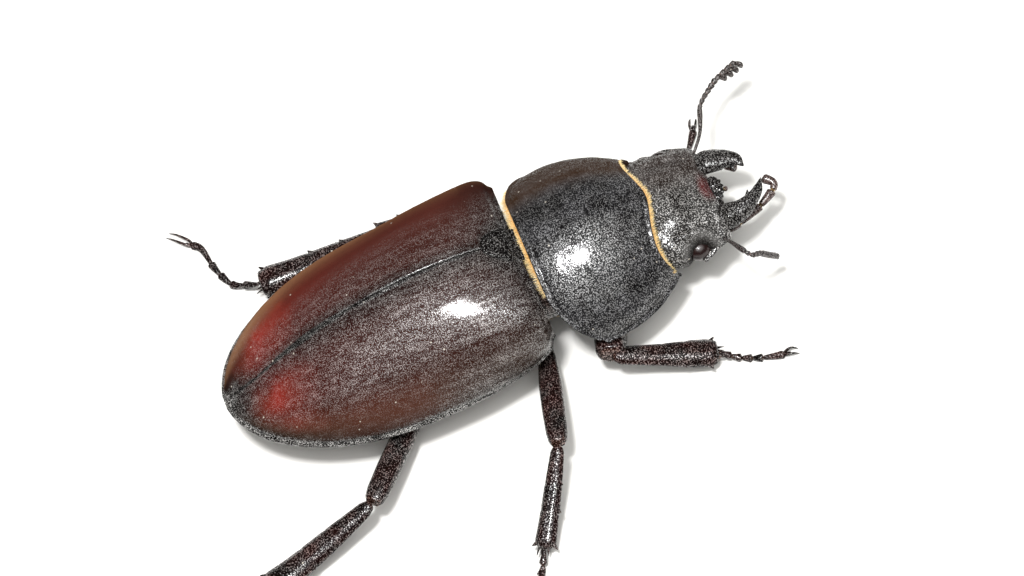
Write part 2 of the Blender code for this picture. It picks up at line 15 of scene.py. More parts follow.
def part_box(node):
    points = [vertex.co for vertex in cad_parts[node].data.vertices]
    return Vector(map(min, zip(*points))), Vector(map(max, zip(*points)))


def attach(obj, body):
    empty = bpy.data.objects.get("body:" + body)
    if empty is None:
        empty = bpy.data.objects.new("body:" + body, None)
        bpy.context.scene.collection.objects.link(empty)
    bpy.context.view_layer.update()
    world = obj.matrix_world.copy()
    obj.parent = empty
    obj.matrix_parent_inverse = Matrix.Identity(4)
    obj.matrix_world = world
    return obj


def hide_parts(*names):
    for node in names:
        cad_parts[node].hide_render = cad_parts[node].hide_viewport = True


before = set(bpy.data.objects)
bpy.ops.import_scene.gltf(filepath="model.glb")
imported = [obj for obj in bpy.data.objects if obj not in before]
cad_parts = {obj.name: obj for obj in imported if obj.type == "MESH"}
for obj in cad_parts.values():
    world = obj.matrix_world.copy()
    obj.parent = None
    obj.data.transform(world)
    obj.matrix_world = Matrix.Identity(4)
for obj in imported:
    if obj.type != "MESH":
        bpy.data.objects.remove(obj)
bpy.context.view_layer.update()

MM = 0.001
TAIL, WIDEST, SHOULDER = -0.4, 13.0, 22.8  # stations of the wing cases' tips, widest line and base
TAIL_END = TAIL + 0.05  # the station at which the wing cases' boxes end
left_case, right_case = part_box("wing_case_l"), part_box("wing_case_r")
MIDLINE = (left_case[0].x + right_case[1].x) / 2
STATION_ZERO = left_case[1].y + TAIL_END * MM


# ---------------------------------------------------------------- shapes in millimetres

def profile(knots):
    """A smooth line through (place, value) pairs that never passes above or below its neighbours."""
    at, value = (np.array(column, float) for column in zip(*knots))
    slope = np.diff(value) / np.diff(at)
    inner = [2 * a * b / (a + b) if a * b > 0 else 0 for a, b in zip(slope, slope[1:])]
    bend = np.array([slope[0], *inner, slope[-1]])

    def read(where):
        where = np.clip(np.asarray(where, float), at[0], at[-1])
        i = np.clip(np.searchsorted(at, where, side="right") - 1, 0, len(slope) - 1)
        span = at[i + 1] - at[i]
        t = (where - at[i]) / span
        rise = (2 * t - 3) * t * t
        return ((1 + rise) * value[i] - rise * value[i + 1]
                + span * t * (1 - t) * ((1 - t) * bend[i] - t * bend[i + 1]))

    return read


def arch(half_width, base, top, squareness, turn):
    """(across, height) on an arch. turn runs from -1 at the right foot over 0 at the top to 1 at the left."""
    angle = np.asarray(turn) * math.pi / 2
    side, up = np.sin(angle), np.clip(np.cos(angle), 0, 1)
    power = 2 / squareness
    return half_width * np.sign(side) * np.abs(side) ** power, base + (top - base) * up ** power


def spots(across, station, height):
    """Places on the beetle, from numbers or whole grids of numbers."""
    return np.stack(np.broadcast_arrays(across, -np.asarray(station, float), height), -1)


def route(points, side):
    """Places of a table's (station, across, height) points, on the left side or, with side -1, on the right."""
    return np.array([(side * across, -station, height) for station, across, height in points], float)


def unit(vector):
    """The same heading, 1 mm long."""
    return vector / np.linalg.norm(vector)


def hump(distance, width):
    """1 at the middle of a ridge or hollow, fading smoothly to 0 over about twice its width."""
    return np.exp(-(np.asarray(distance) / width) ** 2)


def fade(value, low, high):
    """0 below low, 1 above high and smooth between."""
    t = np.clip((np.asarray(value, float) - low) / (high - low), 0, 1)
    return t * t * (3 - 2 * t)


def spaced(count, crowd=0.5):
    """Numbers from 0 to 1 that stand closer together near both ends."""
    t = np.linspace(0, 1, count)
    return (1 - crowd) * t + crowd * (0.5 - 0.5 * np.cos(math.pi * t))


def run(grid, axis):
    """Distances in millimetres from a grid's first row (axis 0) or first column (axis 1)."""
    steps = np.linalg.norm(np.diff(grid, axis=axis), axis=-1)
    return np.concatenate((np.zeros_like(np.take(steps, [0], axis)), np.cumsum(steps, axis)), axis)


def circle(count):
    """Angles round a ring, as one row of a grid."""
    return np.linspace(0, 2 * math.pi, count, endpoint=False)[None, :]


def beads(*lines):
    """The sum of raised and sunk lines, each given as (height, distance from its middle, width)."""
    return sum(height * hump(distance, width) for height, distance, width in lines)


def facing(grid, closed=False):
    """Outward unit vectors of a grid of points."""
    if closed:
        wrapped = np.concatenate((grid[:, -1:], grid, grid[:, :1]), 1)
        across = wrapped[:, 2:] - wrapped[:, :-2]
    else:
        across = np.gradient(grid, axis=1)
    out = np.cross(np.gradient(grid, axis=0), across)
    out /= np.maximum(np.linalg.norm(out, axis=-1, keepdims=True), 1e-9)
    middle = grid.mean(1, keepdims=True)
    if not closed:
        middle = middle - (0, 0, 50)
    return out if ((grid - middle) * out).sum() > 0 else -out


def uneven(grid, size, seed=0.0):
    """Soft lumps of about that size, between -1 and 1."""
    p = grid * (2 * math.pi / size)
    x, y, z = p[..., 0] + seed, p[..., 1] - 1.7 * seed, p[..., 2] + 0.6 * seed
    return (np.sin(0.9 * x + 1.3 * np.sin(0.7 * y)) * np.sin(1.1 * y + 1.1 * np.sin(0.8 * z + seed))
            + np.sin(0.63 * z + 0.8 * x) * 0.6) / 1.6


def cells(rows, columns, closed=False):
    """The four-sided faces of a grid of points."""
    i, j = np.meshgrid(np.arange(rows - 1), np.arange(columns if closed else columns - 1), indexing="ij")
    k = (j + 1) % columns
    faces = np.stack((i * columns + j, i * columns + k, (i + 1) * columns + k, (i + 1) * columns + j), -1)
    return faces.reshape(-1, 4)


class Form:
    """Points, faces, and any numbers or vectors that each point carries."""

    def __init__(self, points, faces, **carried):
        self.points = np.asarray(points, float).reshape(-1, 3)
        self.faces = faces
        self.carried = {key: np.asarray(value, float).reshape(len(self.points), -1)
                        for key, value in carried.items()}

    def __add__(self, other):
        start, carried = len(self.points), {}
        for key, sample in {**self.carried, **other.carried}.items():
            carried[key] = np.concatenate([form.carried.get(key, np.zeros((len(form.points), sample.shape[1])))
                                           for form in (self, other)])
        return Form(np.concatenate((self.points, other.points)),
                    self.faces + [tuple(v + start for v in face) for face in other.faces], **carried)


def together(forms):
    """Several forms as one."""
    return sum(forms[1:], forms[0])


def skin_map(share, turn):
    """Where each point lies on an unrolled skin, as (u, v, 0)."""
    return np.stack(np.broadcast_arrays(share, turn, 0.0), -1)


def plate(outer, thickness, lips, **carried):
    """A closed plate behind an outer face, with rounded lips along its first and last rows and columns."""
    rows, columns = outer.shape[:2]
    out = facing(outer)
    down, along = run(outer, 0), run(outer, 1)
    drop = np.zeros((rows, columns))
    for distance, radius in zip((down, down[-1:] - down, along, along[:, -1:] - along), lips):
        inside = np.clip(distance / radius, 0, 1)
        drop = np.maximum(drop, radius * (1 - np.sqrt(1 - (1 - inside) ** 2)))
    face = outer - out * drop[..., None]
    back = outer - out * (thickness - drop)[..., None]
    count = rows * columns
    front_faces = cells(rows, columns)
    faces = [tuple(f) for f in front_faces] + [tuple(f) for f in front_faces[:, ::-1] + count]
    index = np.arange(count).reshape(rows, columns)
    rim = np.concatenate((index[0, :], index[1:, -1], index[-1, -2::-1], index[-2:0:-1, 0]))
    for a, b in zip(rim, np.roll(rim, -1)):
        faces.append((b, a, a + count, b + count))
    doubled = {key: np.concatenate((np.asarray(v, float).reshape(count, -1),) * 2) for key, v in carried.items()}
    return Form(np.concatenate((face.reshape(-1, 3), back.reshape(-1, 3))), faces, **doubled)


def closed_loft(rings, **carried):
    """A closed skin over a grid of rings, drawn together to a point at each end."""
    rows, columns = rings.shape[:2]
    count = rows * columns
    faces = [tuple(f) for f in cells(rows, columns, closed=True)]
    for j in range(columns):
        k = (j + 1) % columns
        faces += [(count, k, j), (count + 1, count - columns + j, count - columns + k)]
    points = np.concatenate((rings.reshape(-1, 3), [rings[0].mean(0), rings[-1].mean(0)]))
    filled = {}
    for key, value in carried.items():
        value = np.asarray(value, float).reshape(rows, columns, -1)
        filled[key] = np.concatenate((value.reshape(count, -1), [value[0].mean(0), value[-1].mean(0)]))
    return Form(points, faces, **filled)


def course(places, count, crowd=0.5):
    """(path, share) of a smooth line through places. share runs from 0 to 1."""
    knots = np.asarray(places, float)
    knots = np.concatenate(([2 * knots[0] - knots[1]], knots, [2 * knots[-1] - knots[-2]]))
    fine = []
    for a, b, c, d in zip(knots, knots[1:], knots[2:], knots[3:]):
        t = np.linspace(0, 1, 24, endpoint=False)[:, None]
        fine.append(0.5 * (2 * b + (c - a) * t + (2 * a - 5 * b + 4 * c - d) * t ** 2
                           + (3 * b - a - 3 * c + d) * t ** 3))
    fine = np.concatenate(fine + [knots[-2:-1]])
    far, share = run(fine, 0), spaced(count, crowd)
    return np.stack([np.interp(share * far[-1], far, fine[:, k]) for k in range(3)], 1), share


def sweep(path, widths, depths, sides, tilt=0.0, swell=None, hairy=None, joint=None):
    """A closed skin of oval rings round a path, with half widths and half depths in millimetres. Angle 0 is the
    side to the right of the path's own heading. swell and hairy read (share of the path, angle)."""
    along = np.gradient(path, axis=0)
    along /= np.linalg.norm(along, axis=1, keepdims=True)
    sideways = np.cross(along, (0, 0, 1.0))
    sideways /= np.linalg.norm(sideways, axis=1, keepdims=True)
    upward = np.cross(sideways, along)
    angle, far = circle(sides), run(path, 0)
    share = (far / far[-1])[:, None]
    width, depth = (np.broadcast_to(np.asarray(v, float), (len(path),))[:, None] for v in (widths, depths))
    if swell:
        width, depth = width * swell(share, angle), depth * swell(share, angle)
    flat, high = width * np.cos(angle), depth * np.sin(angle)
    flat, high = flat * math.cos(tilt) - high * math.sin(tilt), flat * math.sin(tilt) + high * math.cos(tilt)
    rings = path[:, None] + sideways[:, None] * flat[..., None] + upward[:, None] * high[..., None]
    whole, carried = (len(path), sides), {}
    if joint is not None:
        carried["joint"] = np.broadcast_to(np.asarray(joint)[:, None], whole)
    if hairy:
        carried.update(hairy=np.broadcast_to(hairy(share, angle), whole),
                       Skin=skin_map(share, angle / (2 * math.pi)),
                       lie=np.broadcast_to(along[:, None], (*whole, 3)))
    return closed_loft(rings, **carried)


def blunt(share, length, radius):
    """Shares of full thickness that round off both ends of a rod of that length."""
    end = np.minimum(share, 1 - share) * length / radius
    return np.sqrt(np.clip(1 - (1 - np.clip(end, 0, 1)) ** 2, 1e-4, 1))


def span(path):
    """The length of a path."""
    return float(run(path, 0)[-1])


def thorn(root, tip, radius, hook=0.0, sides=10, rows=10):
    """A pointed tooth or spur from root to tip, bent downward by hook at its middle."""
    root, tip = np.asarray(root, float), np.asarray(tip, float)
    t = spaced(rows, 0.3)
    path = root + (tip - root) * t[:, None] + np.array((0, 0, hook)) * (4 * t * (1 - t))[:, None]
    taper = radius * (1 - t) ** 0.75 + 0.012
    return sweep(path, taper, taper, sides)


def dome(centre, radii, rows=24, sides=36):
    """An ellipsoid, with radii across, along and up."""
    angle, turn = np.linspace(0.02, math.pi - 0.02, rows)[:, None], circle(sides)
    flat = np.sin(angle)
    rings = np.stack(np.broadcast_arrays(flat * np.cos(turn) * radii[0], flat * np.sin(turn) * radii[1],
                                         np.cos(angle) * radii[2]), -1)
    return closed_loft(rings + np.asarray(centre, float))


def raw_mesh(name, form, kept=()):
    """A mesh of a form, with only those of its carried numbers and vectors that kept names."""
    mesh = bpy.data.meshes.new(name)
    mesh.from_pydata(form.points.tolist(), [], [tuple(int(v) for v in face) for face in form.faces])
    for key, value in form.carried.items():
        if key in kept:
            kind, field = ("FLOAT", "value") if value.shape[1] == 1 else ("FLOAT_VECTOR", "vector")
            layer = mesh.attributes.new(key, kind, "POINT")
            layer.data.foreach_set(field, value.astype(np.float32).ravel())
    return mesh


def put_out(name, data):
    """An object of a mesh, a lamp or a camera, in the scene."""
    made = bpy.data.objects.new(name, data)
    bpy.context.scene.collection.objects.link(made)
    return made


def worn(carrier):
    """A plain mesh of an object after its modifiers. The object itself goes."""
    made = bpy.data.meshes.new_from_object(carrier.evaluated_get(bpy.context.evaluated_depsgraph_get()))
    bpy.data.objects.remove(carrier)
    return made


def fused(form, grain, rounds):
    """Overlapping solids grown together into one skin, with their creases softened."""
    carrier = put_out("fused", raw_mesh("fused", form))
    remesh = carrier.modifiers.new("remesh", "REMESH")
    remesh.mode, remesh.voxel_size, remesh.adaptivity = "VOXEL", grain, 0.0
    smooth = carrier.modifiers.new("smooth", "SMOOTH")
    smooth.factor, smooth.iterations = 0.5, rounds
    made = worn(carrier)
    points = np.empty(len(made.vertices) * 3)
    made.vertices.foreach_get("co", points)
    return Form(points, [tuple(p.vertices) for p in made.polygons])


def place(mesh):
    """Moves a mesh from the beetle's millimetres to the shared frame's metres."""
    mesh.transform(Matrix.Translation((MIDLINE, STATION_ZERO, 0)) @ Matrix.Scale(MM, 4))


CREASE = math.radians(50)  # edges that turn more than this stay sharp
PAINTED_BY = ("along", "outward", "seam", "rim", "warm", "satin", "joint", "dark")  # what the finishes read


def piece(name, form, finish, stands_for=()):
    """A finished piece in its place, from a form or a ready mesh, riding on the beetle's one body."""
    mesh = form
    if isinstance(form, Form):
        mesh, outward = raw_mesh(name, form, PAINTED_BY), bmesh.new()
        outward.from_mesh(mesh)
        bmesh.ops.recalc_face_normals(outward, faces=outward.faces)
        outward.to_mesh(mesh)
        outward.free()
    place(mesh)
    mesh.shade_smooth()
    mesh.set_sharp_from_angle(angle=CREASE)
    mesh.materials.clear()
    mesh.materials.append(finish)
    made = put_out(name, mesh)
    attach(made, "root")
    if stands_for:
        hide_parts(*stands_for)


def skin(node, form, finish):
    """The finished piece that takes the place of one plain solid."""
    piece(f"{node}_skin", form, finish, (node,))


# ---------------------------------------------------------------- finishes

CUTICLE_IOR = 1.56  # how strongly a beetle's hard skin bends light


def colour(code):
    """An sRGB hex colour as linear red, green and blue, with full alpha."""
    parts = [int(code[i:i + 2], 16) / 255 for i in (0, 2, 4)]
    return (*[p / 12.92 if p <= 0.04045 else ((p + 0.055) / 1.055) ** 2.4 for p in parts], 1)


def wire(tree, node, inputs):
    """Sets each input to a value, or links it to a socket or to another node's first output in use."""
    for key, value in inputs.items():
        socket = node.inputs[key] if isinstance(key, int) else next(
            s for s in node.inputs if s.name == key and s.enabled)
        if isinstance(value, bpy.types.Node):
            value = next(s for s in value.outputs if s.enabled)
        if isinstance(value, bpy.types.NodeSocket):
            tree.links.new(value, socket)
        else:
            socket.default_value = value


def add(tree, kind, inputs=None, stops=(), **settings):
    """One node with its settings and links. stops are a colour ramp's (place, hex colour) pairs."""
    made = tree.nodes.new(kind)
    for key, value in settings.items():
        setattr(made, key, value)
    wire(tree, made, inputs or {})
    for number, (where, code) in enumerate(stops):
        if number >= len(made.color_ramp.elements):
            made.color_ramp.elements.new(where)
        element = made.color_ramp.elements[number]
        element.position, element.color = where, colour(code)
    return made


def new_finish(name, **sockets):
    """A material with its shader, whose plain values are set on the shader itself."""
    made = bpy.data.materials.new(name)
    made.use_nodes = True
    tree = made.node_tree
    shader = tree.nodes["Principled BSDF"]
    wire(tree, shader, {key.replace("_", " "): value for key, value in sockets.items()})
    return made, tree, shader


def per_mm(size):
    """The texture scale whose features are that many millimetres across."""
    return 1 / (size * MM)


def grained(tree, shader, where, base, pit, dull, depth, rough, glint_paint, streak=0.0, hollow=0.9):
    """Gives cuticle its grain over a base colour. Round pits stand pit millimetres apart. Between them is a
    shagreen of tiny facets. Those over the level dull catch the light and shine more, and their glints are also
    painted pale, with the glint paint for how pale. hollow is how much darker the others and the pits are painted,
    as painted shade; depth is the grain's height in millimetres, rough is the shine's roughness, and streak draws
    the grain out along the body. Where "satin" is 1 the cuticle is smooth, has no wax and no painted glints or
    painted shade. Dust lies here and there."""
    nearest = add(tree, "ShaderNodeTexVoronoi", {"Vector": where, "Scale": per_mm(pit)})
    holes = add(tree, "ShaderNodeMapRange", {"Value": nearest, "From Min": 0.08, "From Max": 0.36},
                interpolation_type="SMOOTHSTEP")
    facets = add(tree, "ShaderNodeTexNoise", {"Vector": where, "Scale": per_mm(pit * 0.5), "Detail": 1.0})
    drawn = add(tree, "ShaderNodeMapping", {"Vector": where, "Scale": (1.0, 0.12, 1.0)})
    lines = add(tree, "ShaderNodeTexNoise", {"Vector": drawn, "Scale": per_mm(0.3), "Detail": 3.0})
    slow = add(tree, "ShaderNodeTexNoise", {"Vector": where, "Scale": per_mm(0.7), "Detail": 2.0})
    level = add(tree, "ShaderNodeMath", {0: lines, 1: streak, 2: facets}, operation="MULTIPLY_ADD")
    level = add(tree, "ShaderNodeMath", {0: slow, 1: 0.1, 2: level}, operation="MULTIPLY_ADD")
    middle = dull + 0.5 * streak + 0.05  # half of what the streaks and the slow lumps add
    shine = add(tree, "ShaderNodeMapRange", {"Value": level, "From Min": middle - 0.03, "From Max": middle + 0.05},
                interpolation_type="SMOOTHSTEP")
    glint = add(tree, "ShaderNodeMath", {0: holes, 1: shine}, operation="MULTIPLY")

    satin = add(tree, "ShaderNodeAttribute", attribute_name="satin").outputs["Fac"]
    sheen_share = add(tree, "ShaderNodeMapRange", {"Value": satin, "To Min": 1.0, "To Max": 0.0})
    plain = add(tree, "ShaderNodeMath", {0: satin, 1: hollow, 2: 1 - hollow}, operation="MULTIPLY_ADD")
    lit = add(tree, "ShaderNodeMath", {0: glint, 1: plain}, operation="MAXIMUM")
    film = add(tree, "ShaderNodeMath", {0: glint, 1: 0.75, 2: 0.25}, operation="MULTIPLY_ADD")
    film = add(tree, "ShaderNodeMath", {0: film, 1: sheen_share}, operation="MULTIPLY")
    glint = add(tree, "ShaderNodeMath", {0: glint, 1: sheen_share}, operation="MULTIPLY")

    # painted glints: pale colour on the facets that catch the light
    painted_glints = add(tree, "ShaderNodeMath", {0: glint, 1: glint_paint}, operation="MULTIPLY")
    specks = add(tree, "ShaderNodeTexVoronoi", {"Vector": where, "Scale": per_mm(1.1)})
    dust = add(tree, "ShaderNodeMapRange", {"Value": specks, "From Min": 0.07, "From Max": 0.04, "To Max": 0.8})
    # painted shade in the pits and on the facets that miss the light, then painted glints, then real dust
    shade = colour("040303")
    for share, shown in ((lit, base), (painted_glints, colour("c6c3c0")), (dust, colour("c4bcb0"))):
        shade = add(tree, "ShaderNodeMix", {"Factor": share, "A": shade, "B": shown}, data_type="RGBA")
    deep = add(tree, "ShaderNodeBump", {"Height": lines, "Strength": 1.0, "Distance": 0.12 * streak * MM})
    for height in (holes, facets):
        deep = add(tree, "ShaderNodeBump", {"Height": height, "Strength": 1.0, "Distance": depth * MM,
                                            "Normal": deep})
    thin = add(tree, "ShaderNodeBump", {"Height": facets, "Strength": 1.0, "Distance": 0.25 * depth * MM})
    wire(tree, shader, {
        "Base Color": shade, "Normal": deep, "Coat Weight": film, "Coat Normal": thin,
        "Roughness": add(tree, "ShaderNodeMath", {0: slow, 1: 0.16, 2: rough - 0.08}, operation="MULTIPLY_ADD"),
        "Specular IOR Level": add(tree, "ShaderNodeMath", {0: glint, 1: 0.8}, operation="MULTIPLY")})


def wing_case_cuticle():
    """Tanned cuticle of the wing cases, hardened in place under a thin coat of wax. The eye sees a chestnut red
    that deepens to black at the seam and the rim, brown on the flanks where reflection of warm light is painted
    in, strong on the left, and a satin sheen broken into grains by dense pits 0.13 mm apart, its glints partly
    painted."""
    made, tree, shader = new_finish("wing_case_cuticle", IOR=CUTICLE_IOR, Coat_Roughness=0.1, Coat_IOR=1.6)
    where = add(tree, "ShaderNodeTexCoord").outputs["Object"]
    cloud = add(tree, "ShaderNodeTexNoise", {"Vector": where, "Scale": per_mm(2.0), "Detail": 3.0})
    wander = add(tree, "ShaderNodeMath", {0: cloud, 1: 2.0, 2: -1.0}, operation="MULTIPLY_ADD")
    warm, along, outward, seam, rim = (
        add(tree, "ShaderNodeAttribute", attribute_name=number).outputs["Fac"]
        for number in ("warm", "along", "outward", "seam", "rim"))
    along, outward, seam, rim = (
        add(tree, "ShaderNodeMath", {0: wander, 1: sway, 2: number}, operation="MULTIPLY_ADD")
        for number, sway in ((along, 0.06), (outward, 0.08), (seam, 0.25), (rim, 0.25)))
    inner = add(tree, "ShaderNodeValToRGB", {"Fac": along}, (
        (0.0, "1c120e"), (0.05, "2c1813"), (0.1, "5e261c"), (0.16, "84271e"), (0.21, "78281e"), (0.3, "54221c"),
        (0.5, "4a231d"), (0.8, "46231d"), (1.0, "241613")))
    outer = add(tree, "ShaderNodeValToRGB", {"Fac": along}, (
        (0.0, "1a110d"), (0.08, "291a15"), (0.2, "2c1914"), (0.35, "341612"), (0.5, "381612"), (0.75, "2e1612"),
        (0.92, "2a1a15"), (1.0, "241613")))
    side = add(tree, "ShaderNodeMapRange", {"Value": outward, "From Min": 0.45, "From Max": 0.8})
    base = inner
    # the brown share paints reflection of warm light on the flanks
    for share, shown in ((side, outer), (warm, colour("8c6448"))):
        base = add(tree, "ShaderNodeMix", {"Factor": share, "A": base, "B": shown}, data_type="RGBA")
    for number, black_at, clear_at, most in (
            (seam, 0.2, 1.3, 0.65), (rim, 0.7, 2.4, 0.55), (seam, 0.05, 0.22, 1), (rim, 0.6, 1.0, 1),
            (along, 1.02, 0.985, 1)):
        black = add(tree, "ShaderNodeMapRange", {"Value": number, "From Min": clear_at, "From Max": black_at,
                                                 "To Max": most}, interpolation_type="SMOOTHSTEP")
        base = add(tree, "ShaderNodeMix", {"Factor": black, "A": base, "B": colour("0d0a09")}, data_type="RGBA")
    # the pale facets are painted glints, paler toward the rim
    glint_paint = add(tree, "ShaderNodeMapRange", {"Value": rim, "From Min": 1.0, "From Max": 0.6,
                                             "To Min": 0.26, "To Max": 0.75})
    grained(tree, shader, where, base, 0.13, 0.56, 0.02, 0.26, glint_paint, streak=0.28, hollow=0.65)
    return made


def hard_cuticle(name, pit, dull, depth, rough, glint_paint, black, sheen_paint, warm_colour="321e0c"):
    """Fully tanned cuticle of the shield, head, jaws, legs and belly. It is black or nearly so to the eye, with
    cloudy paler patches of painted sheen, and pits that differ from part to part. A brown share marks thin cuticle
    at the head's front and painted reflection of warm light on the shield's left flank. A hinge share marks the
    soft orange-brown skin of a hinge, and painted brown shade on the head's left half. "dark" paints shade
    near-black, round the eyes and over the head's left half."""
    made, tree, shader = new_finish(name, IOR=CUTICLE_IOR, Coat_Roughness=0.11, Coat_IOR=1.6)
    where = add(tree, "ShaderNodeTexCoord").outputs["Object"]
    cloud = add(tree, "ShaderNodeTexNoise", {"Vector": where, "Scale": per_mm(1.6), "Detail": 3.0})
    # cloudy patches of painted sheen: paler colour that stands in for glints
    sheen_share = add(tree, "ShaderNodeMapRange", {"Value": cloud, "From Min": 0.35, "From Max": 0.65})
    base = add(tree, "ShaderNodeMix", {"Factor": sheen_share, "A": colour(black), "B": colour(sheen_paint)}, data_type="RGBA")
    # brown tones, real and painted reflection; hinge skins and painted brown shade; painted near-black shade
    for number, shown in (("warm", warm_colour), ("joint", "6a3416"), ("dark", "0a0706")):
        share = add(tree, "ShaderNodeAttribute", attribute_name=number).outputs["Fac"]
        base = add(tree, "ShaderNodeMix", {"Factor": share, "A": base, "B": colour(shown)}, data_type="RGBA")
    grained(tree, shader, where, base, pit, dull, depth, rough, glint_paint, streak=0.15)
    return made


def mouth_cuticle(name, dark, pale, joint_colour):
    """Thin cuticle of feelers and palps: brown and a little translucent, with paler skins at the hinges."""
    made, tree, shader = new_finish(name, IOR=CUTICLE_IOR, Coat_Roughness=0.15, Coat_IOR=1.45)
    where = add(tree, "ShaderNodeTexCoord").outputs["Object"]
    cloud = add(tree, "ShaderNodeTexNoise", {"Vector": where, "Scale": per_mm(0.8), "Detail": 2.0})
    joint = add(tree, "ShaderNodeAttribute", attribute_name="joint").outputs["Fac"]
    base = add(tree, "ShaderNodeMix", {"Factor": cloud, "A": colour(dark), "B": colour(pale)}, data_type="RGBA")
    base = add(tree, "ShaderNodeMix", {"Factor": joint, "A": base, "B": colour(joint_colour)}, data_type="RGBA")
    grained(tree, shader, where, base, 0.14, 0.5, 0.012, 0.3, 0.15)
    return made


def compound_eye():
    """The eye's thousands of lenses: a dome so dark a brown that it is nearly black, with a wet gloss. The lenses
    are really 0.02 mm across and are drawn at 0.05 mm so that they show."""
    made, tree, shader = new_finish("compound_eye", IOR=1.5, Roughness=0.2, Coat_Weight=0.25, Coat_Roughness=0.06)
    where = add(tree, "ShaderNodeTexCoord").outputs["Object"]
    cloud = add(tree, "ShaderNodeTexNoise", {"Vector": where, "Scale": per_mm(0.7)})
    lenses = add(tree, "ShaderNodeTexVoronoi", {"Vector": where, "Scale": per_mm(0.05), "Randomness": 0.15})
    wire(tree, shader, {
        "Base Color": add(tree, "ShaderNodeMix", {"Factor": cloud, "A": colour("0e0a0b"), "B": colour("26110e")},
                          data_type="RGBA"),
        "Normal": add(tree, "ShaderNodeBump", {"Height": lenses, "Strength": 1.0, "Distance": 0.006 * MM})})
    return made


def bristle_finish(name, root, tip):
    """A bristle is a solid tapering rod of hard protein, glossy along its length and paler toward its point."""
    made, tree, shader = new_finish(name, IOR=1.55, Roughness=0.4)
    up = add(tree, "ShaderNodeAttribute", attribute_name="up").outputs["Fac"]
    wire(tree, shader, {"Base Color": add(
        tree, "ShaderNodeMix", {"Factor": up, "A": colour(root), "B": colour(tip)}, data_type="RGBA")})
    return made


def studio_paper():
    """Matt white card, with a tooth too fine to catch the light."""
    made, tree, shader = new_finish("studio_paper", Roughness=0.9, Specular_IOR_Level=0.1)
    where = add(tree, "ShaderNodeTexCoord").outputs["Object"]
    cloud = add(tree, "ShaderNodeTexNoise", {"Vector": where, "Scale": per_mm(60)})
    wire(tree, shader, {"Base Color": add(
        tree, "ShaderNodeValToRGB", {"Fac": cloud}, ((0.3, "e6e4e1"), (0.7, "e9e8e5")))})
    return made


# ---------------------------------------------------------------- bristles

SIZES = ("Per square mm", "Length", "Thickness", "Lean", "Bend", "Stray", "Seed")


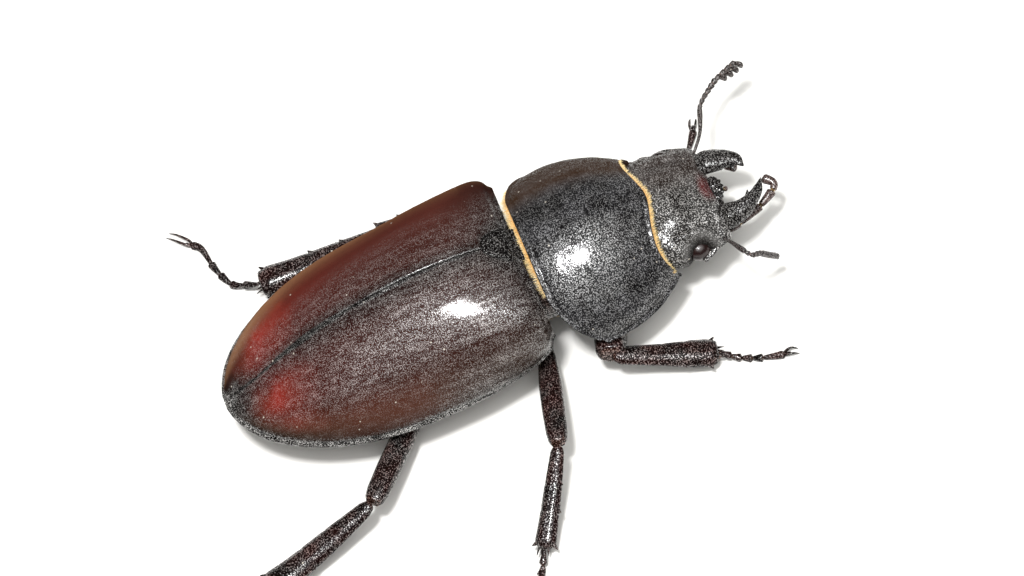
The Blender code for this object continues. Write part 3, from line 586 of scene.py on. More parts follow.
def bristle_tree():
    """Bristles scattered over a surface as thickly as its "hairy" number allows, leaning along its "lie" vectors.
    Each is drawn as a bent line, given a tapering square skin and mapped to its root's place on the skin below."""
    tree = bpy.data.node_groups.new("bristles", "GeometryNodeTree")
    for name, kind in (("Surface", "Geometry"), *((size, "Int" if size == "Seed" else "Float") for size in SIZES),
                       ("Finish", "Material")):
        tree.interface.new_socket(name=name, in_out="INPUT", socket_type="NodeSocket" + kind)
    tree.interface.new_socket(name="Bristles", in_out="OUTPUT", socket_type="NodeSocketGeometry")
    given = add(tree, "NodeGroupInput").outputs
    seed, length = given["Seed"], given["Length"]
    hairy, lie, skin_at, root_at, up = (
        add(tree, "GeometryNodeInputNamedAttribute", {"Name": name}, data_type=kind)
        for name, kind in (("hairy", "FLOAT"), ("lie", "FLOAT_VECTOR"), ("Skin", "FLOAT_VECTOR"),
                           ("root_at", "FLOAT_VECTOR"), ("up", "FLOAT")))

    surface = add(tree, "GeometryNodeStoreNamedAttribute",
                  {"Geometry": given["Surface"], "Name": "root_at", "Value": skin_at},
                  data_type="FLOAT_VECTOR", domain="POINT")
    density = add(tree, "ShaderNodeMath", {0: hairy, 1: given["Per square mm"]}, operation="MULTIPLY")
    roots = add(tree, "GeometryNodeDistributePointsOnFaces", {"Mesh": surface, "Seed": seed, "Density": density})
    stray = add(tree, "FunctionNodeRandomValue", {"Min": (-1, -1, -1), "Max": (1, 1, 1), "Seed": seed},
                data_type="FLOAT_VECTOR")
    straight = add(tree, "ShaderNodeMath", {0: 1.0, 1: given["Lean"]}, operation="SUBTRACT")
    upright, leaning, loose = (
        add(tree, "ShaderNodeVectorMath", {0: way, "Scale": share}, operation="SCALE")
        for way, share in ((roots.outputs["Normal"], straight), (lie, given["Lean"]), (stray, given["Stray"])))
    aim = add(tree, "ShaderNodeVectorMath", {0: upright, 1: leaning}, operation="ADD")
    aim = add(tree, "ShaderNodeVectorMath", {0: aim, 1: loose}, operation="ADD")
    turned = add(tree, "FunctionNodeAlignRotationToVector", {"Vector": aim}, axis="Z")
    size = add(tree, "FunctionNodeRandomValue", {"Min": 0.65, "Max": 1.0, "Seed": seed}, data_type="FLOAT")

    half = add(tree, "ShaderNodeMath", {0: length, 1: 0.5}, operation="MULTIPLY")
    bend = add(tree, "ShaderNodeMath", {0: length, 1: given["Bend"]}, operation="MULTIPLY")
    line = add(tree, "GeometryNodeCurveQuadraticBezier", {
        "Resolution": 3, "Start": (0, 0, 0), "Middle": add(tree, "ShaderNodeCombineXYZ", {"Z": half}),
        "End": add(tree, "ShaderNodeCombineXYZ", {"X": bend, "Z": length})})
    share = add(tree, "GeometryNodeSplineParameter").outputs["Factor"]
    marked = add(tree, "GeometryNodeStoreNamedAttribute", {"Geometry": line, "Name": "up", "Value": share},
                 data_type="FLOAT", domain="POINT")
    narrowed = add(tree, "ShaderNodeMath", {0: share, 1: 1.5}, operation="POWER")
    narrowed = add(tree, "ShaderNodeMath", {0: narrowed, 1: -0.5, 2: 0.53}, operation="MULTIPLY_ADD")
    taper = add(tree, "ShaderNodeMath", {0: narrowed, 1: given["Thickness"]}, operation="MULTIPLY")
    ring = add(tree, "GeometryNodeCurvePrimitiveCircle", {"Resolution": 4, "Radius": 1.0})
    hair = add(tree, "GeometryNodeCurveToMesh", {"Curve": marked, "Profile Curve": ring, "Scale": taper,
                                                 "Fill Caps": True})
    sown = add(tree, "GeometryNodeInstanceOnPoints", {"Points": roots, "Instance": hair, "Rotation": turned,
                                                      "Scale": size})
    real = add(tree, "GeometryNodeRealizeInstances", {"Geometry": sown})

    patch = add(tree, "ShaderNodeCombineXYZ", {"X": up, "Y": up})
    patch = add(tree, "ShaderNodeVectorMath", {0: patch, "Scale": 0.003}, operation="SCALE")
    patch = add(tree, "ShaderNodeVectorMath", {0: root_at, 1: patch}, operation="ADD")
    mapped = add(tree, "GeometryNodeStoreNamedAttribute", {"Geometry": real, "Name": "OFBake", "Value": patch},
                 data_type="FLOAT2", domain="CORNER")
    painted = add(tree, "GeometryNodeSetMaterial", {"Geometry": mapped, "Material": given["Finish"]})
    add(tree, "NodeGroupOutput", {"Bristles": painted})
    return tree


def bristles(name, form, finish, slot, *sizes):
    """A piece of bristles that grow from a form, where its "hairy" says, along its "lie", mapped by its "Skin"."""
    carrier = put_out(name, raw_mesh(name + "_roots", form, ("hairy", "lie", "Skin")))
    step, wanted = carrier.modifiers.new("bristles", "NODES"), {**dict(zip(SIZES, sizes)), "Finish": finish}
    step.node_group = BRISTLES
    for socket in BRISTLES.interface.items_tree:
        if socket.name in wanted:
            step[socket.identifier] = wanted[socket.name]
    piece(name, worn(carrier), finish)


# ---------------------------------------------------------------- wing cases and scutellum

CASE_HALF_WIDTH = 7.7
FOOT, CASE_TUCK = 0.88, 0.3  # the turn at which the dome ends and the sides drop, and how far they draw in
case_top = profile(((TAIL, 4.3), (0.4, 4.75), (2.5, 5.85), (4.7, 7.25), (8, 8.85), (11.2, 9.75), (13.5, 10.22),
                    (15.5, 10.43), (16.6, 10.46), (18, 10.39), (20, 10.1), (21.8, 9.55), (SHOULDER, 8.8)))
case_margin = profile(((TAIL, 3.95), (5, 3.75), (14, 3.55), (19, 3.7), (SHOULDER, 4.0)))
case_rise = profile(((TAIL, 0.15), (14, 0.25), (17, 0.5), (20, 1.2), (22, 2.0), (SHOULDER, 2.1)))
case_front_width = profile(((WIDEST, CASE_HALF_WIDTH), (16, 7.68), (19, 7.5), (21, 7.25), (22, 6.88),
                            (22.5, 6.35), (SHOULDER, 5.75)))
case_squareness = profile(((TAIL, 1.9), (8, 1.85), (12, 1.9), (16, 2.15), (20, 2.6), (21.5, 2.8),
                           (SHOULDER, 3.1)))
SCUTELLUM_TIP, SCUTELLUM_CENTRE, SCUTELLUM_HALF_WIDTH = 20.4, 23.2, 1.35


def case_half_width(station):
    """Rounded like an egg's end behind the widest station, and by the shoulders' own line in front of it."""
    back = np.clip((WIDEST - station) / (WIDEST - TAIL), 0, 1)
    return np.where(station >= WIDEST, case_front_width(station), CASE_HALF_WIDTH * (1 - back ** 2.2) ** 0.526)


def case_section(station, turn):
    """(across, height) on the wing cases' dome: an arch, then sides that draw in below the widest line."""
    rise = case_rise(station)
    across, height = arch(case_half_width(station), case_margin(station) + rise, case_top(station),
                          case_squareness(station), np.minimum(turn, FOOT) / FOOT)
    down = rise * np.clip((turn - FOOT) / (1 - FOOT), 0, 1)
    return across - CASE_TUCK * down, height - down


def case_height(station, across):
    """Height of the wing cases' dome over a place inside its outline."""
    base = case_margin(station) + case_rise(station)
    half = case_squareness(station) / 2
    side = np.clip(np.abs(across) / case_half_width(station), 0, 1) ** half
    return base + (case_top(station) - base) * np.clip(1 - side ** 2, 0, 1) ** (0.5 / half)


def scutellum_half(station):
    """Half width of the little plate between the wing cases' bases: half an oval, with its tip to the rear."""
    back = (SCUTELLUM_CENTRE - station) / (SCUTELLUM_CENTRE - SCUTELLUM_TIP)
    return SCUTELLUM_HALF_WIDTH * np.sqrt(np.clip(1 - back ** 2, 0, 1))


def case_grid(stations, inner_edge, shares):
    """Points over one wing case in even steps along each section, from its inner edge out to its margin."""
    fine, rows = spaced(500, 0.9), []
    for station, edge in zip(stations, inner_edge):
        across, height = case_section(station, fine)
        far = np.concatenate(([0], np.cumsum(np.hypot(np.diff(across), np.diff(height)))))
        start = np.interp(edge, np.maximum.accumulate(across), far)
        places = start + (far[-1] - start) * shares
        rows.append(spots(np.interp(places, far, across), station, np.interp(places, far, height)))
    return np.array(rows)


RIBS = ((0.26, 0.012), (0.53, 0.03), (0.72, 0.014))  # how far out each faint rib lies, and its height


def wing_case(side, seed):
    """One wing case: a bead along its margin, seam and base, a swelling at the shoulder, and faint ribs."""
    tail = TAIL + 0.02
    stations = np.concatenate((tail + (4 - tail) * np.linspace(0, 1, 70) ** 1.7, np.linspace(4, 20.3, 90)[1:],
                               SCUTELLUM_TIP + (SHOULDER - SCUTELLUM_TIP) * np.linspace(0, 1, 50) ** 1.6))
    inner_edge = np.maximum(0.015, scutellum_half(stations) + 0.03 * (stations > SCUTELLUM_TIP))
    shares = spaced(96, 0.35)
    grid = case_grid(stations, inner_edge, shares) * (side, 1, 1)
    station, across = -grid[..., 1], np.abs(grid[..., 0])
    from_seam, from_tail = run(grid, 1), run(grid, 0)
    length = from_seam[:, -1:]
    from_margin, from_base = length - from_seam, from_tail[-1:] - from_tail
    behind_plate = 1 - fade(station, 19.6, 20.6)
    open_back = fade(station, 1, 5) * (1 - fade(station, 18.5, 20.5))
    relief = beads((0.07, from_margin - 0.3, 0.17), (-0.05, from_margin - 0.66, 0.15),
                   (0.02 * behind_plate, from_seam - 0.13, 0.08), (-0.025 * behind_plate, from_seam - 0.34, 0.1),
                   (0.05, from_base - 0.2, 0.13), (-0.07, from_base - 0.6, 0.22),
                   (0.09, np.hypot(station - 21.0, across - 5.6), 0.9))
    relief = relief + 0.008 * uneven(grid, 2.6, seed) + 0.004 * uneven(grid, 0.9, seed)
    relief = relief + beads(*((height * open_back, (shares - out) * length, 0.3) for out, height in RIBS))
    grid = grid + facing(grid) * relief[..., None]

    outward = np.broadcast_to(shares, station.shape)
    red_patch = np.exp(-((station - 3.2) / 1.9) ** 2 - ((across - 2.3) / 1.3) ** 2)
    # the brown share paints reflection of warm light on the flanks, strong on the left and faint on the right
    if side > 0:  # the left case has lost its wax all down its flank, the right one only near its tail
        rim, seam = np.minimum(from_margin * 1.4, 1.6 * from_tail + 0.1), from_seam
        warm = fade(outward, 0.42, 0.8) * 0.85
        satin = 0.2 + 0.8 * fade(outward, 0.12, 0.42) - 0.3 * red_patch
    else:
        rim, seam = np.minimum(from_margin, 0.8 * from_tail + 0.1), from_seam * 0.6
        warm = fade(outward, 0.42, 0.8) * 0.12
        satin = np.maximum(0.75 * fade(outward, 0.5, 0.78) * (1 - fade(station, 12, 17)), 0.6 * red_patch)
    return plate(grid, np.minimum(0.45, 0.4 * case_half_width(station)), (0.08, 0.2, 0.05, 0.1),
                 along=(station - TAIL) / (SHOULDER - TAIL), outward=outward, seam=seam, rim=rim, warm=warm,
                 satin=satin * fade(rim, 0.7, 1.3))


def scutellum():
    """The little plate between the wing cases' bases, sunk a little below their dome."""
    stations = SCUTELLUM_TIP + 0.03 + 2.5 * np.linspace(0, 1, 46)[:, None] ** 1.6
    half = np.maximum(scutellum_half(stations) - 0.02, 0.03)
    turn = 2 * spaced(56)[None, :] - 1
    height = case_height(stations, turn * half) - 0.03 - 0.1 * fade(stations, 21.6, 22.8) + 0.03 * (1 - turn ** 2)
    grid = spots(turn * half, stations, height)
    return plate(grid + facing(grid) * 0.012 * uneven(grid, 0.7)[..., None], 0.4, (0.06, 0.05, 0.07, 0.07))


# ---------------------------------------------------------------- pronotum, the shield behind the head

PRONOTUM_REAR, PRONOTUM_FRONT = 23.15, 32.4  # stations of its edges at the midline
REAR_CUT, FRONT_WAVE = 2.9, 0.8  # how far forward its hind corners are cut, and how far back its front edge dips
pronotum_half_width = profile(((PRONOTUM_REAR, 6.5), (24, 7.0), (25.6, 7.33), (26.5, 7.42), (28, 7.25),
                               (30, 6.62), (31.5, 5.7), (32.6, 4.85)))
pronotum_margin = profile(((PRONOTUM_REAR, 4.4), (26, 4.05), (30, 4.0), (32.6, 4.2)))
pronotum_top = profile(((PRONOTUM_REAR, 8.72), (25, 9.07), (27.4, 9.22), (29.2, 9.0), (31, 8.45), (32.6, 7.85)))


def pronotum_rear(turn):
    """Straight across the back, then cut obliquely forward down to the hind corners."""
    return PRONOTUM_REAR + REAR_CUT * np.clip((np.abs(turn) - 0.48) / 0.52, 0, 1) ** 1.6


def pronotum_front(turn):
    """A double wave: forward in the middle and at the corners."""
    return PRONOTUM_FRONT - FRONT_WAVE * np.sin(math.pi * np.abs(turn)) ** 2 + 0.2 * np.abs(turn)


def pronotum_spots(station, turn, inward=0.0):
    """Places on the shield's dome, or that far below it."""
    across, height = arch(pronotum_half_width(station) - inward, pronotum_margin(station),
                          pronotum_top(station) - inward, 1.7, turn)
    return spots(across, station, height)


def pronotum():
    """The shield: beaded all round, with a faint furrow along its middle and a shallow dent toward each side."""
    along, turn = spaced(130)[:, None], 2 * spaced(190, 0.4)[None, :] - 1
    rear, front = pronotum_rear(turn), pronotum_front(turn)
    station = rear + (front - rear) * along
    grid = pronotum_spots(station, turn)
    down, over = run(grid, 0), run(grid, 1)
    from_front, from_side = down[-1:] - down, np.minimum(over, over[:, -1:] - over)
    across, middle = grid[..., 0], fade(along, 0.08, 0.25) * (1 - fade(along, 0.75, 0.95))
    relief = beads((0.06, down - 0.16, 0.12), (-0.06, down - 0.45, 0.16),
                   (0.05, from_front - 0.15, 0.11), (-0.05, from_front - 0.42, 0.16),
                   (0.08, from_side - 0.18, 0.14), (-0.07, from_side - 0.5, 0.2), (-0.035 * middle, across, 0.3),
                   (-0.1, np.hypot((station - 27.4) / 1.1, (np.abs(across) - 5.2) / 0.8), 1),
                   (-0.06, np.hypot((station - 30.2) / 0.8, (np.abs(across) - 4.2) / 0.9), 1))
    relief = relief + 0.012 * uneven(grid, 2.2, 1.0) + 0.005 * uneven(grid, 0.7, 2.0)
    grid = grid + facing(grid) * relief[..., None]
    # the brown share paints reflection of warm light on the shield's left flank, which also loses its wax
    warm = fade(np.broadcast_to(turn, station.shape), 0.2, 0.42)
    return plate(grid, 0.5, (0.1, 0.1, 0.12, 0.12), warm=0.85 * warm, satin=0.93 * warm)


# ---------------------------------------------------------------- head and mouth

HEAD_REAR, HEAD_FRONT, HEAD_WAIST = 31.4, 36.95, 4.75  # two stations, and the height of its widest line
head_half_width = profile(((HEAD_REAR, 4.2), (32.4, 4.5), (33.2, 4.62), (34.2, 4.62), (35.2, 4.5), (36.2, 4.15),
                           (36.9, 3.9)))
head_top = profile(((HEAD_REAR, 6.75), (33, 6.95), (34.5, 6.7), (36, 6.1), (36.9, 5.65)))
head_under = profile(((HEAD_REAR, 3.0), (34, 2.9), (36.9, 3.5)))
EYE_AT, EYE_RADII = (34.35, 3.9, 4.72), (0.74, 0.87, 0.78)
CHEEK = ((36.1, 3.75, 4.95), (35.6, 4.15, 4.85), (35.1, 4.45, 4.72), (34.6, 4.62, 4.58), (34.3, 4.64, 4.5))


def head():
    """The head capsule: hollow-fronted, with a raised rim along its front, a ridge inside each eye's hollow, and a
    cheek that runs back over the eye."""
    station = HEAD_REAR + (HEAD_FRONT - HEAD_REAR - 0.008) * (1 - (1 - np.linspace(0, 1, 150)[:, None]) ** 1.35)
    angle = circle(240)
    shrink, corner = ((1 - np.clip((station - bend) / (HEAD_FRONT - bend), 0, 1) ** power) ** (1 / power)
                      for bend, power in ((35.9, 2.6), (36.3, 4)))
    width = head_half_width(station) * (0.66 + 0.34 * corner)
    reach = np.where(np.sin(angle) > 0, head_top(station), head_under(station)) - HEAD_WAIST
    across = width * np.sign(np.cos(angle)) * np.abs(np.cos(angle)) ** 0.95
    rings = spots(across, station, HEAD_WAIST + reach * shrink * np.abs(np.sin(angle)) ** 0.93)
    over, side = fade(rings[..., 2], 4.9, 5.6), np.abs(rings[..., 0])
    from_eye = np.linalg.norm(
        (side - EYE_AT[1], station - EYE_AT[0] + 0 * side, rings[..., 2] - EYE_AT[2]), axis=0)
    past_eye = 0.7 * np.maximum(np.abs(station - 34.4) - 1.1, 0)
    relief = over * beads(
        (-0.24, np.hypot((station - 35.1) / 1.0, side / 1.7), 1),
        (0.12, np.hypot((station - 33.7) / 0.7, (side - 1.7) / 0.8), 1),
        (0.13, np.hypot(side - 3.3, past_eye), 0.22), (-0.09, np.hypot(side - 2.8, past_eye), 0.3),
        (0.07, station - 36.45, 0.14), (-0.07, station - 36.1, 0.2))
    relief = (relief - 0.5 * np.exp(-(from_eye / 1.06) ** 6) + 0.035 * uneven(rings, 1.5, 3.0)
              + 0.015 * uneven(rings, 0.6, 4.0))
    rings = rings + facing(rings, closed=True) * relief[..., None]
    thin_front = 0.9 * np.exp(-np.hypot((station - 36.55) / 0.52, side / 1.15) ** 4)
    # dark paints shade near-black in a ring round each eye and over the head's left half; the hinge share adds
    # painted brown shade there
    eye_ring_shade, left_half_shade = np.exp(-(from_eye / 1.5) ** 8), over * fade(rings[..., 0], -0.6, 2.2)
    form = closed_loft(rings, warm=thin_front, dark=np.maximum(eye_ring_shade, 0.62 * left_half_shade), joint=0.2 * left_half_shade,
                       satin=np.maximum(np.maximum(0.6 * thin_front, 0.5 * left_half_shade), eye_ring_shade))
    for sign in (1, -1):
        path, share = course(route(CHEEK, sign), 30)
        thick = blunt(share, span(path), 0.25)
        form = form + sweep(path, 0.24 * thick, 0.12 * thick, 20)
    return form


JAW_LEAN = math.radians(22)
MANDIBLE = {  # the middle line, half widths and half depths along it, then the tooth's root, tip and radius
    "l": (((36.6, 2.35, 4.85), (37.3, 2.3, 4.95), (38.0, 2.1, 5.0), (38.7, 1.85, 5.05), (39.25, 1.5, 5.1),
           (39.6, 0.75, 5.1)), (1.0, 1.05, 0.98, 0.78, 0.5, 0.07), (0.6, 0.72, 0.66, 0.52, 0.36, 0.06),
          ((38.7, 1.9, 5.05), (38.9, 0.75, 5.0)), 0.34),
    "r": (((36.6, 2.3, 4.85), (37.4, 2.4, 4.95), (38.2, 2.35, 5.0), (39.0, 2.05, 5.1), (39.75, 1.5, 5.1),
           (40.35, 0.65, 5.1)), (0.95, 0.9, 0.7, 0.5, 0.34, 0.05), (0.6, 0.66, 0.55, 0.42, 0.28, 0.05),
          ((38.8, 2.0, 5.05), (39.15, 1.05, 5.0)), 0.28)}


def mandible(letter, side):
    """A short curved biting jaw: a thick knotted base, a keel along its outer face and a blunt tooth inside."""
    knots, widths, depths, tooth, tooth_radius = MANDIBLE[letter]
    path, share = course(route(knots, side), 60)
    at = np.linspace(0, 1, 6)
    body = sweep(path, np.interp(share, at, widths), np.interp(share, at, depths), 36, tilt=side * JAW_LEAN)
    keel_path = path[6:48] + np.array((side * 0.28, 0, 0.34)) * (1 - share[6:48, None] * 0.8)
    keel = sweep(keel_path, np.linspace(0.24, 0.08, len(keel_path)), 0.16, 16)
    knob = dome((side * 2.5, -37.3, 5.35), (0.5, 0.55, 0.32), 16, 24)
    form = fused(body + keel + thorn(*route(tooth, side), tooth_radius) + knob, 0.045, 4)
    form.points = form.points + 0.02 * uneven(form.points, 0.6, 2.0)[..., None] * (0.3, 0.3, 1)
    return form


def jointed(places, joints, radii, flare, joint_length=0.07, pinch=0.42, count=150, hairy=None, depth=1.0):
    """A rod of several segments, with joints at those shares of it from 0 to 1. It is pinched where segments meet,
    and flare makes each segment widest toward its far end."""
    path, share = course(places, count, 0.1)
    length, joints = span(path), np.asarray(joints, float)
    radius = np.interp(share, np.linspace(0, 1, len(radii)), radii)
    segment = np.clip(np.searchsorted(joints, share, side="right") - 1, 0, len(joints) - 2)
    inside = (share - joints[segment]) / (joints[segment + 1] - joints[segment])
    nearest = np.abs(share[:, None] - joints[None, 1:-1]).min(1) * length
    shape = (radius * (1 - pinch * hump(nearest, joint_length)) * (1 + flare * (inside - 0.5))
             * blunt(share, length, float(np.mean(radii))))
    return sweep(path, shape, shape * depth, 18, hairy=hairy, joint=hump(nearest, joint_length * 0.9))


# each jaw palp's middle line, then the shares of it at which its joints lie
JAW_PALP = {"l": (((36.9, 2.5, 3.5), (37.6, 2.65, 3.2), (38.3, 2.7, 3.0), (39.3, 2.1, 2.9)), (0, 0.3, 0.62, 1)),
            "r": (((36.9, 2.85, 3.6), (38.0, 2.5, 3.6), (39.1, 2.1, 3.6), (40.1, 1.65, 3.7), (40.9, 1.15, 3.8),
                   (41.05, 0.7, 3.9), (40.5, 0.1, 4.0)), (0, 0.16, 0.5, 0.74, 1))}
LIP_PALP = ((37.1, 0.7, 3.4), (37.45, 0.75, 3.2), (37.75, 0.85, 3.0), (38.05, 0.9, 2.85))


def palps(letter, side):
    """The jaw palp and the lip palp of one side."""
    knots, joints = JAW_PALP[letter]
    return (jointed(route(knots, side), joints, (0.2, 0.25, 0.29, 0.3, 0.32), 0.4),
            jointed(route(LIP_PALP, side), (0, 0.35, 0.68, 1), (0.15, 0.17, 0.2), 0.3, count=80))


# ---------------------------------------------------------------- feelers

# middle lines of each feeler's scape, stalk and club
SCAPE = {"l": ((36.5, 3.1, 4.9), (37.1, 3.7, 5.0), (37.85, 4.75, 5.1), (38.5, 6.4, 5.3)),
         "r": ((36.0, 3.4, 4.8), (36.3, 4.1, 5.1), (36.6, 5.1, 5.9), (37.1, 6.5, 6.6))}
FUNICLE = {"l": ((38.35, 6.25, 5.28), (38.95, 6.95, 5.3), (39.5, 7.45, 5.2), (40.4, 8.2, 5.1)),
           "r": ((37.05, 6.45, 6.58), (37.5, 6.75, 6.2), (38.0, 6.5, 5.6), (38.45, 6.28, 4.7))}
CLUB = {"l": ((40.35, 8.15, 5.1), (42.2, 9.1, 4.8)), "r": ((38.42, 6.3, 4.75), (39.25, 5.95, 3.2))}
LEAVES = (0.6, 0.74, 0.78, 0.72)  # how far each leaf of the club reaches


def feeler(letter, side):
    """A long scape, a stalk of six beads and a club of four leaves like a comb."""
    path, share = course(route(SCAPE[letter], side), 70)
    thick = np.interp(share, (0, 0.06, 0.12, 0.5, 0.85, 1), (0.2, 0.18, 0.11, 0.13, 0.2, 0.2))
    thick = thick * blunt(share, span(path), 0.18)
    scape = sweep(path, thick, thick, 20, joint=hump(share, 0.03))
    stalk = jointed(route(FUNICLE[letter], side), np.linspace(0, 1, 7), (0.16, 0.18, 0.2, 0.24), 0.5, 0.05, 0.4,
                    130)
    start, end = route(CLUB[letter], side)
    along = unit(end - start)
    inward = unit(np.cross(along, (0, 0, side)))
    if letter == "r":
        inward = np.cross(along, np.cross((0.5, 0, -0.866), along))
    club = jointed((start, end), np.linspace(0, 1, 5), (0.2, 0.22, 0.2), 0.3, 0.05, 0.4, 100)
    for number, reach in enumerate(LEAVES):
        root = start + (end - start) * (0.14 + 0.25 * number)
        tip = root + inward * reach + along * 0.26
        t = spaced(26)
        line = root + (tip - root) * t[:, None] + along * (0.1 * np.sin(math.pi * t))[:, None]
        wide = np.interp(t, (0, 0.3, 0.7, 1), (0.12, 0.17, 0.2, 0.15)) * blunt(t, reach, 0.16)
        club = club + sweep(line, wide, wide * 1.7, 18)
    return scape, stalk, club


# ---------------------------------------------------------------- legs

COXA = {"front": ((27.4, 2.1, 2.2), (1.8, 1.2, 1.05)),  # the hip block's centre and its radii across, along and up
        "middle": ((21.2, 2.5, 2.1), (1.3, 1.3, 1.1)),
        "hind": ((13.3, 2.9, 2.2), (2.5, 1.1, 0.95))}
LEGS = {  # where each leg bends, then where its foot and its claws touch the floor
    ("front", "r"): dict(hip=(27.2, 3.5, 1.35), knee=(25.8, 7.85, 2.9), ankle=(32.8, 9.95, 1.05),
                         foot=((34.1, 10.6), (35.3, 11.2), (36.6, 11.6)), claw=(38.0, 11.8)),
    ("front", "l"): dict(hip=(27.2, 3.5, 1.35), knee=(26.6, 6.9, 2.2), ankle=(33.5, 5.75, 0.95),
                         foot=((35.0, 5.8), (36.5, 6.3), (37.5, 7.55)), claw=(38.1, 8.95)),
    ("middle", "r"): dict(hip=(22.0, 3.7, 1.3), knee=(20.05, 12.95, 3.5), ankle=(16.35, 18.75, 1.0),
                          foot=((15.5, 20.0), (14.4, 21.1), (13.1, 22.0)), claw=(11.6, 22.7)),
    ("middle", "l"): dict(hip=(21.0, 3.7, 1.3), knee=(19.0, 9.35, 1.7), ankle=(13.8, 10.1, 0.75),
                          foot=((12.5, 10.2), (11.4, 10.2), (10.3, 10.1)), claw=(8.9, 10.0)),
    ("hind", "r"): dict(hip=(12.8, 4.0, 1.35), knee=(6.65, 11.25, 3.0), ankle=(-2.5, 13.4, 1.0),
                        foot=((-4.0, 14.0), (-5.3, 14.9), (-6.6, 16.0)), claw=(-7.9, 17.2)),
    ("hind", "l"): dict(hip=(12.8, 3.4, 1.35), knee=(15.4, 8.95, 2.2), ankle=(4.7, 9.7, 1.2),
                        foot=((2.75, 11.2), (2.0, 13.0), (1.6, 14.95)), claw=(-0.4, 17.3)),
}
THIGH_WIDTH = {"front": 1.22, "middle": 0.85, "hind": 0.9}
SHIN_WIDTHS = {"front": (0.42, 0.68, 0.8, 1.02, 1.04, 0.76), "middle": (0.3, 0.48, 0.62, 0.68, 0.74, 0.46),
               "hind": (0.34, 0.6, 0.86, 1.0, 1.16, 0.95)}
SHIN_AT = (0, 0.07, 0.4, 0.75, 0.93, 1)  # the shares of the shin at which it has those half widths
TEETH = {  # share of the shin, 1 on its outer edge or -1 on its inner one, and reach
    "front": ((0.45, 1, 0.16), (0.66, 1, 0.22), (0.9, 1, 0.3), (0.93, -1, 0.26)),
    "middle": ((0.35, 1, 0.14), (0.6, 1, 0.26), (0.94, 1, 0.32), (0.94, -1, 0.3)),
    "hind": ((0.38, 1, 0.14), (0.6, 1, 0.22), (0.94, 1, 0.36), (0.94, -1, 0.34))}
SOLE = 0.23  # height of a foot's middle line


def thigh(pair, hip, knee):
    """A flattened club, with a collar near the hip and down below."""
    t = spaced(70)
    path = hip + (knee - hip) * t[:, None] + np.array((0, 0, 0.12)) * np.sin(math.pi * t)[:, None]
    width = THIGH_WIDTH[pair] * np.interp(t, (0, 0.06, 0.12, 0.18, 0.45, 0.7, 0.9, 0.97, 1),
                                          (0.6, 0.72, 0.66, 0.78, 1, 1.0, 0.93, 0.8, 0.6))
    return sweep(path, width, width * 0.82, 36, swell=lambda s, a: 1 - 0.05 * np.cos(2 * a) ** 2,
                 joint=0.4 * hump(t - 0.12, 0.015) + 0.7 * hump(1 - t, 0.015),
                 hairy=lambda s, a: np.clip(-np.sin(a), 0, 1) ** 3 * fade(s, 0.2, 0.5) + 0.05)


def shin_swell(share, angle):
    """A sharp keel along each edge of a shin, and a groove along its upper and its lower face."""
    keels = sum(0.07 * np.exp(-((np.cos(angle) - edge) / 0.06) ** 2) for edge in (1, -1))
    groove = 0.06 * np.exp(-((np.abs(np.sin(angle)) - 1) / 0.03) ** 2) * fade(share, 0.15, 0.35)
    return 0.95 + keels - groove


def shin(pair, side, knee, ankle):
    """A shin that widens to its end, with teeth and a fine saw along its outer edge and spurs round the ankle."""
    away = unit(ankle - knee)
    outward = unit(np.cross(away, (0, 0, 1)) * (-side if pair == "front" else side))
    start, t = knee + away * 0.12, spaced(110)
    path = start + (ankle - start) * t[:, None] - np.array((0, 0, 0.16)) * np.sin(math.pi * t)[:, None]
    width, rounding = np.interp(t, SHIN_AT, SHIN_WIDTHS[pair]), blunt(t, span(path), 0.2)
    notches = sum(0.05 * hump(t - share - 0.02, 0.02) for share, edge, _ in TEETH[pair] if edge > 0)
    form = sweep(path, width * rounding * (1 - notches), np.maximum(width * 0.68, 0.24) * rounding, 44,
                 swell=shin_swell, joint=0.7 * hump(t, 0.018),
                 hairy=lambda s, a: fade(s, 0.1, 0.3) * (0.12 + np.abs(np.cos(a)) ** 8))

    def beside(share, edge, past):
        half = float(np.interp(share, SHIN_AT, SHIN_WIDTHS[pair]))
        return start + (ankle - start) * share + outward * edge * (half + past)

    for share, edge, reach in TEETH[pair]:
        form = form + thorn(beside(share, edge, -0.22) - away * 0.05,
                            beside(share, edge, reach * 0.75) + away * reach * 1.1, 0.2, -0.02, 14, 16)
    for share in np.linspace(0.25, 0.9, 9):
        form = form + thorn(beside(share, 1, -0.1) - (0, 0, 0.1),
                            beside(share, 1, 0.04) + away * 0.1 - (0, 0, 0.1), 0.07, 0, 8, 8)
    for turn, reach in ((-0.9, 0.4), (-0.4, 0.32), (0.5, 0.28)):
        root = ankle - away * 0.3 + outward * turn * 0.42 - (0, 0, 0.12)
        tip = root + away * (0.35 + reach) + outward * turn * 0.18 - (0, 0, 0.1)
        form = form + thorn(root, tip, 0.1, 0.03, 10, 14)
    return form


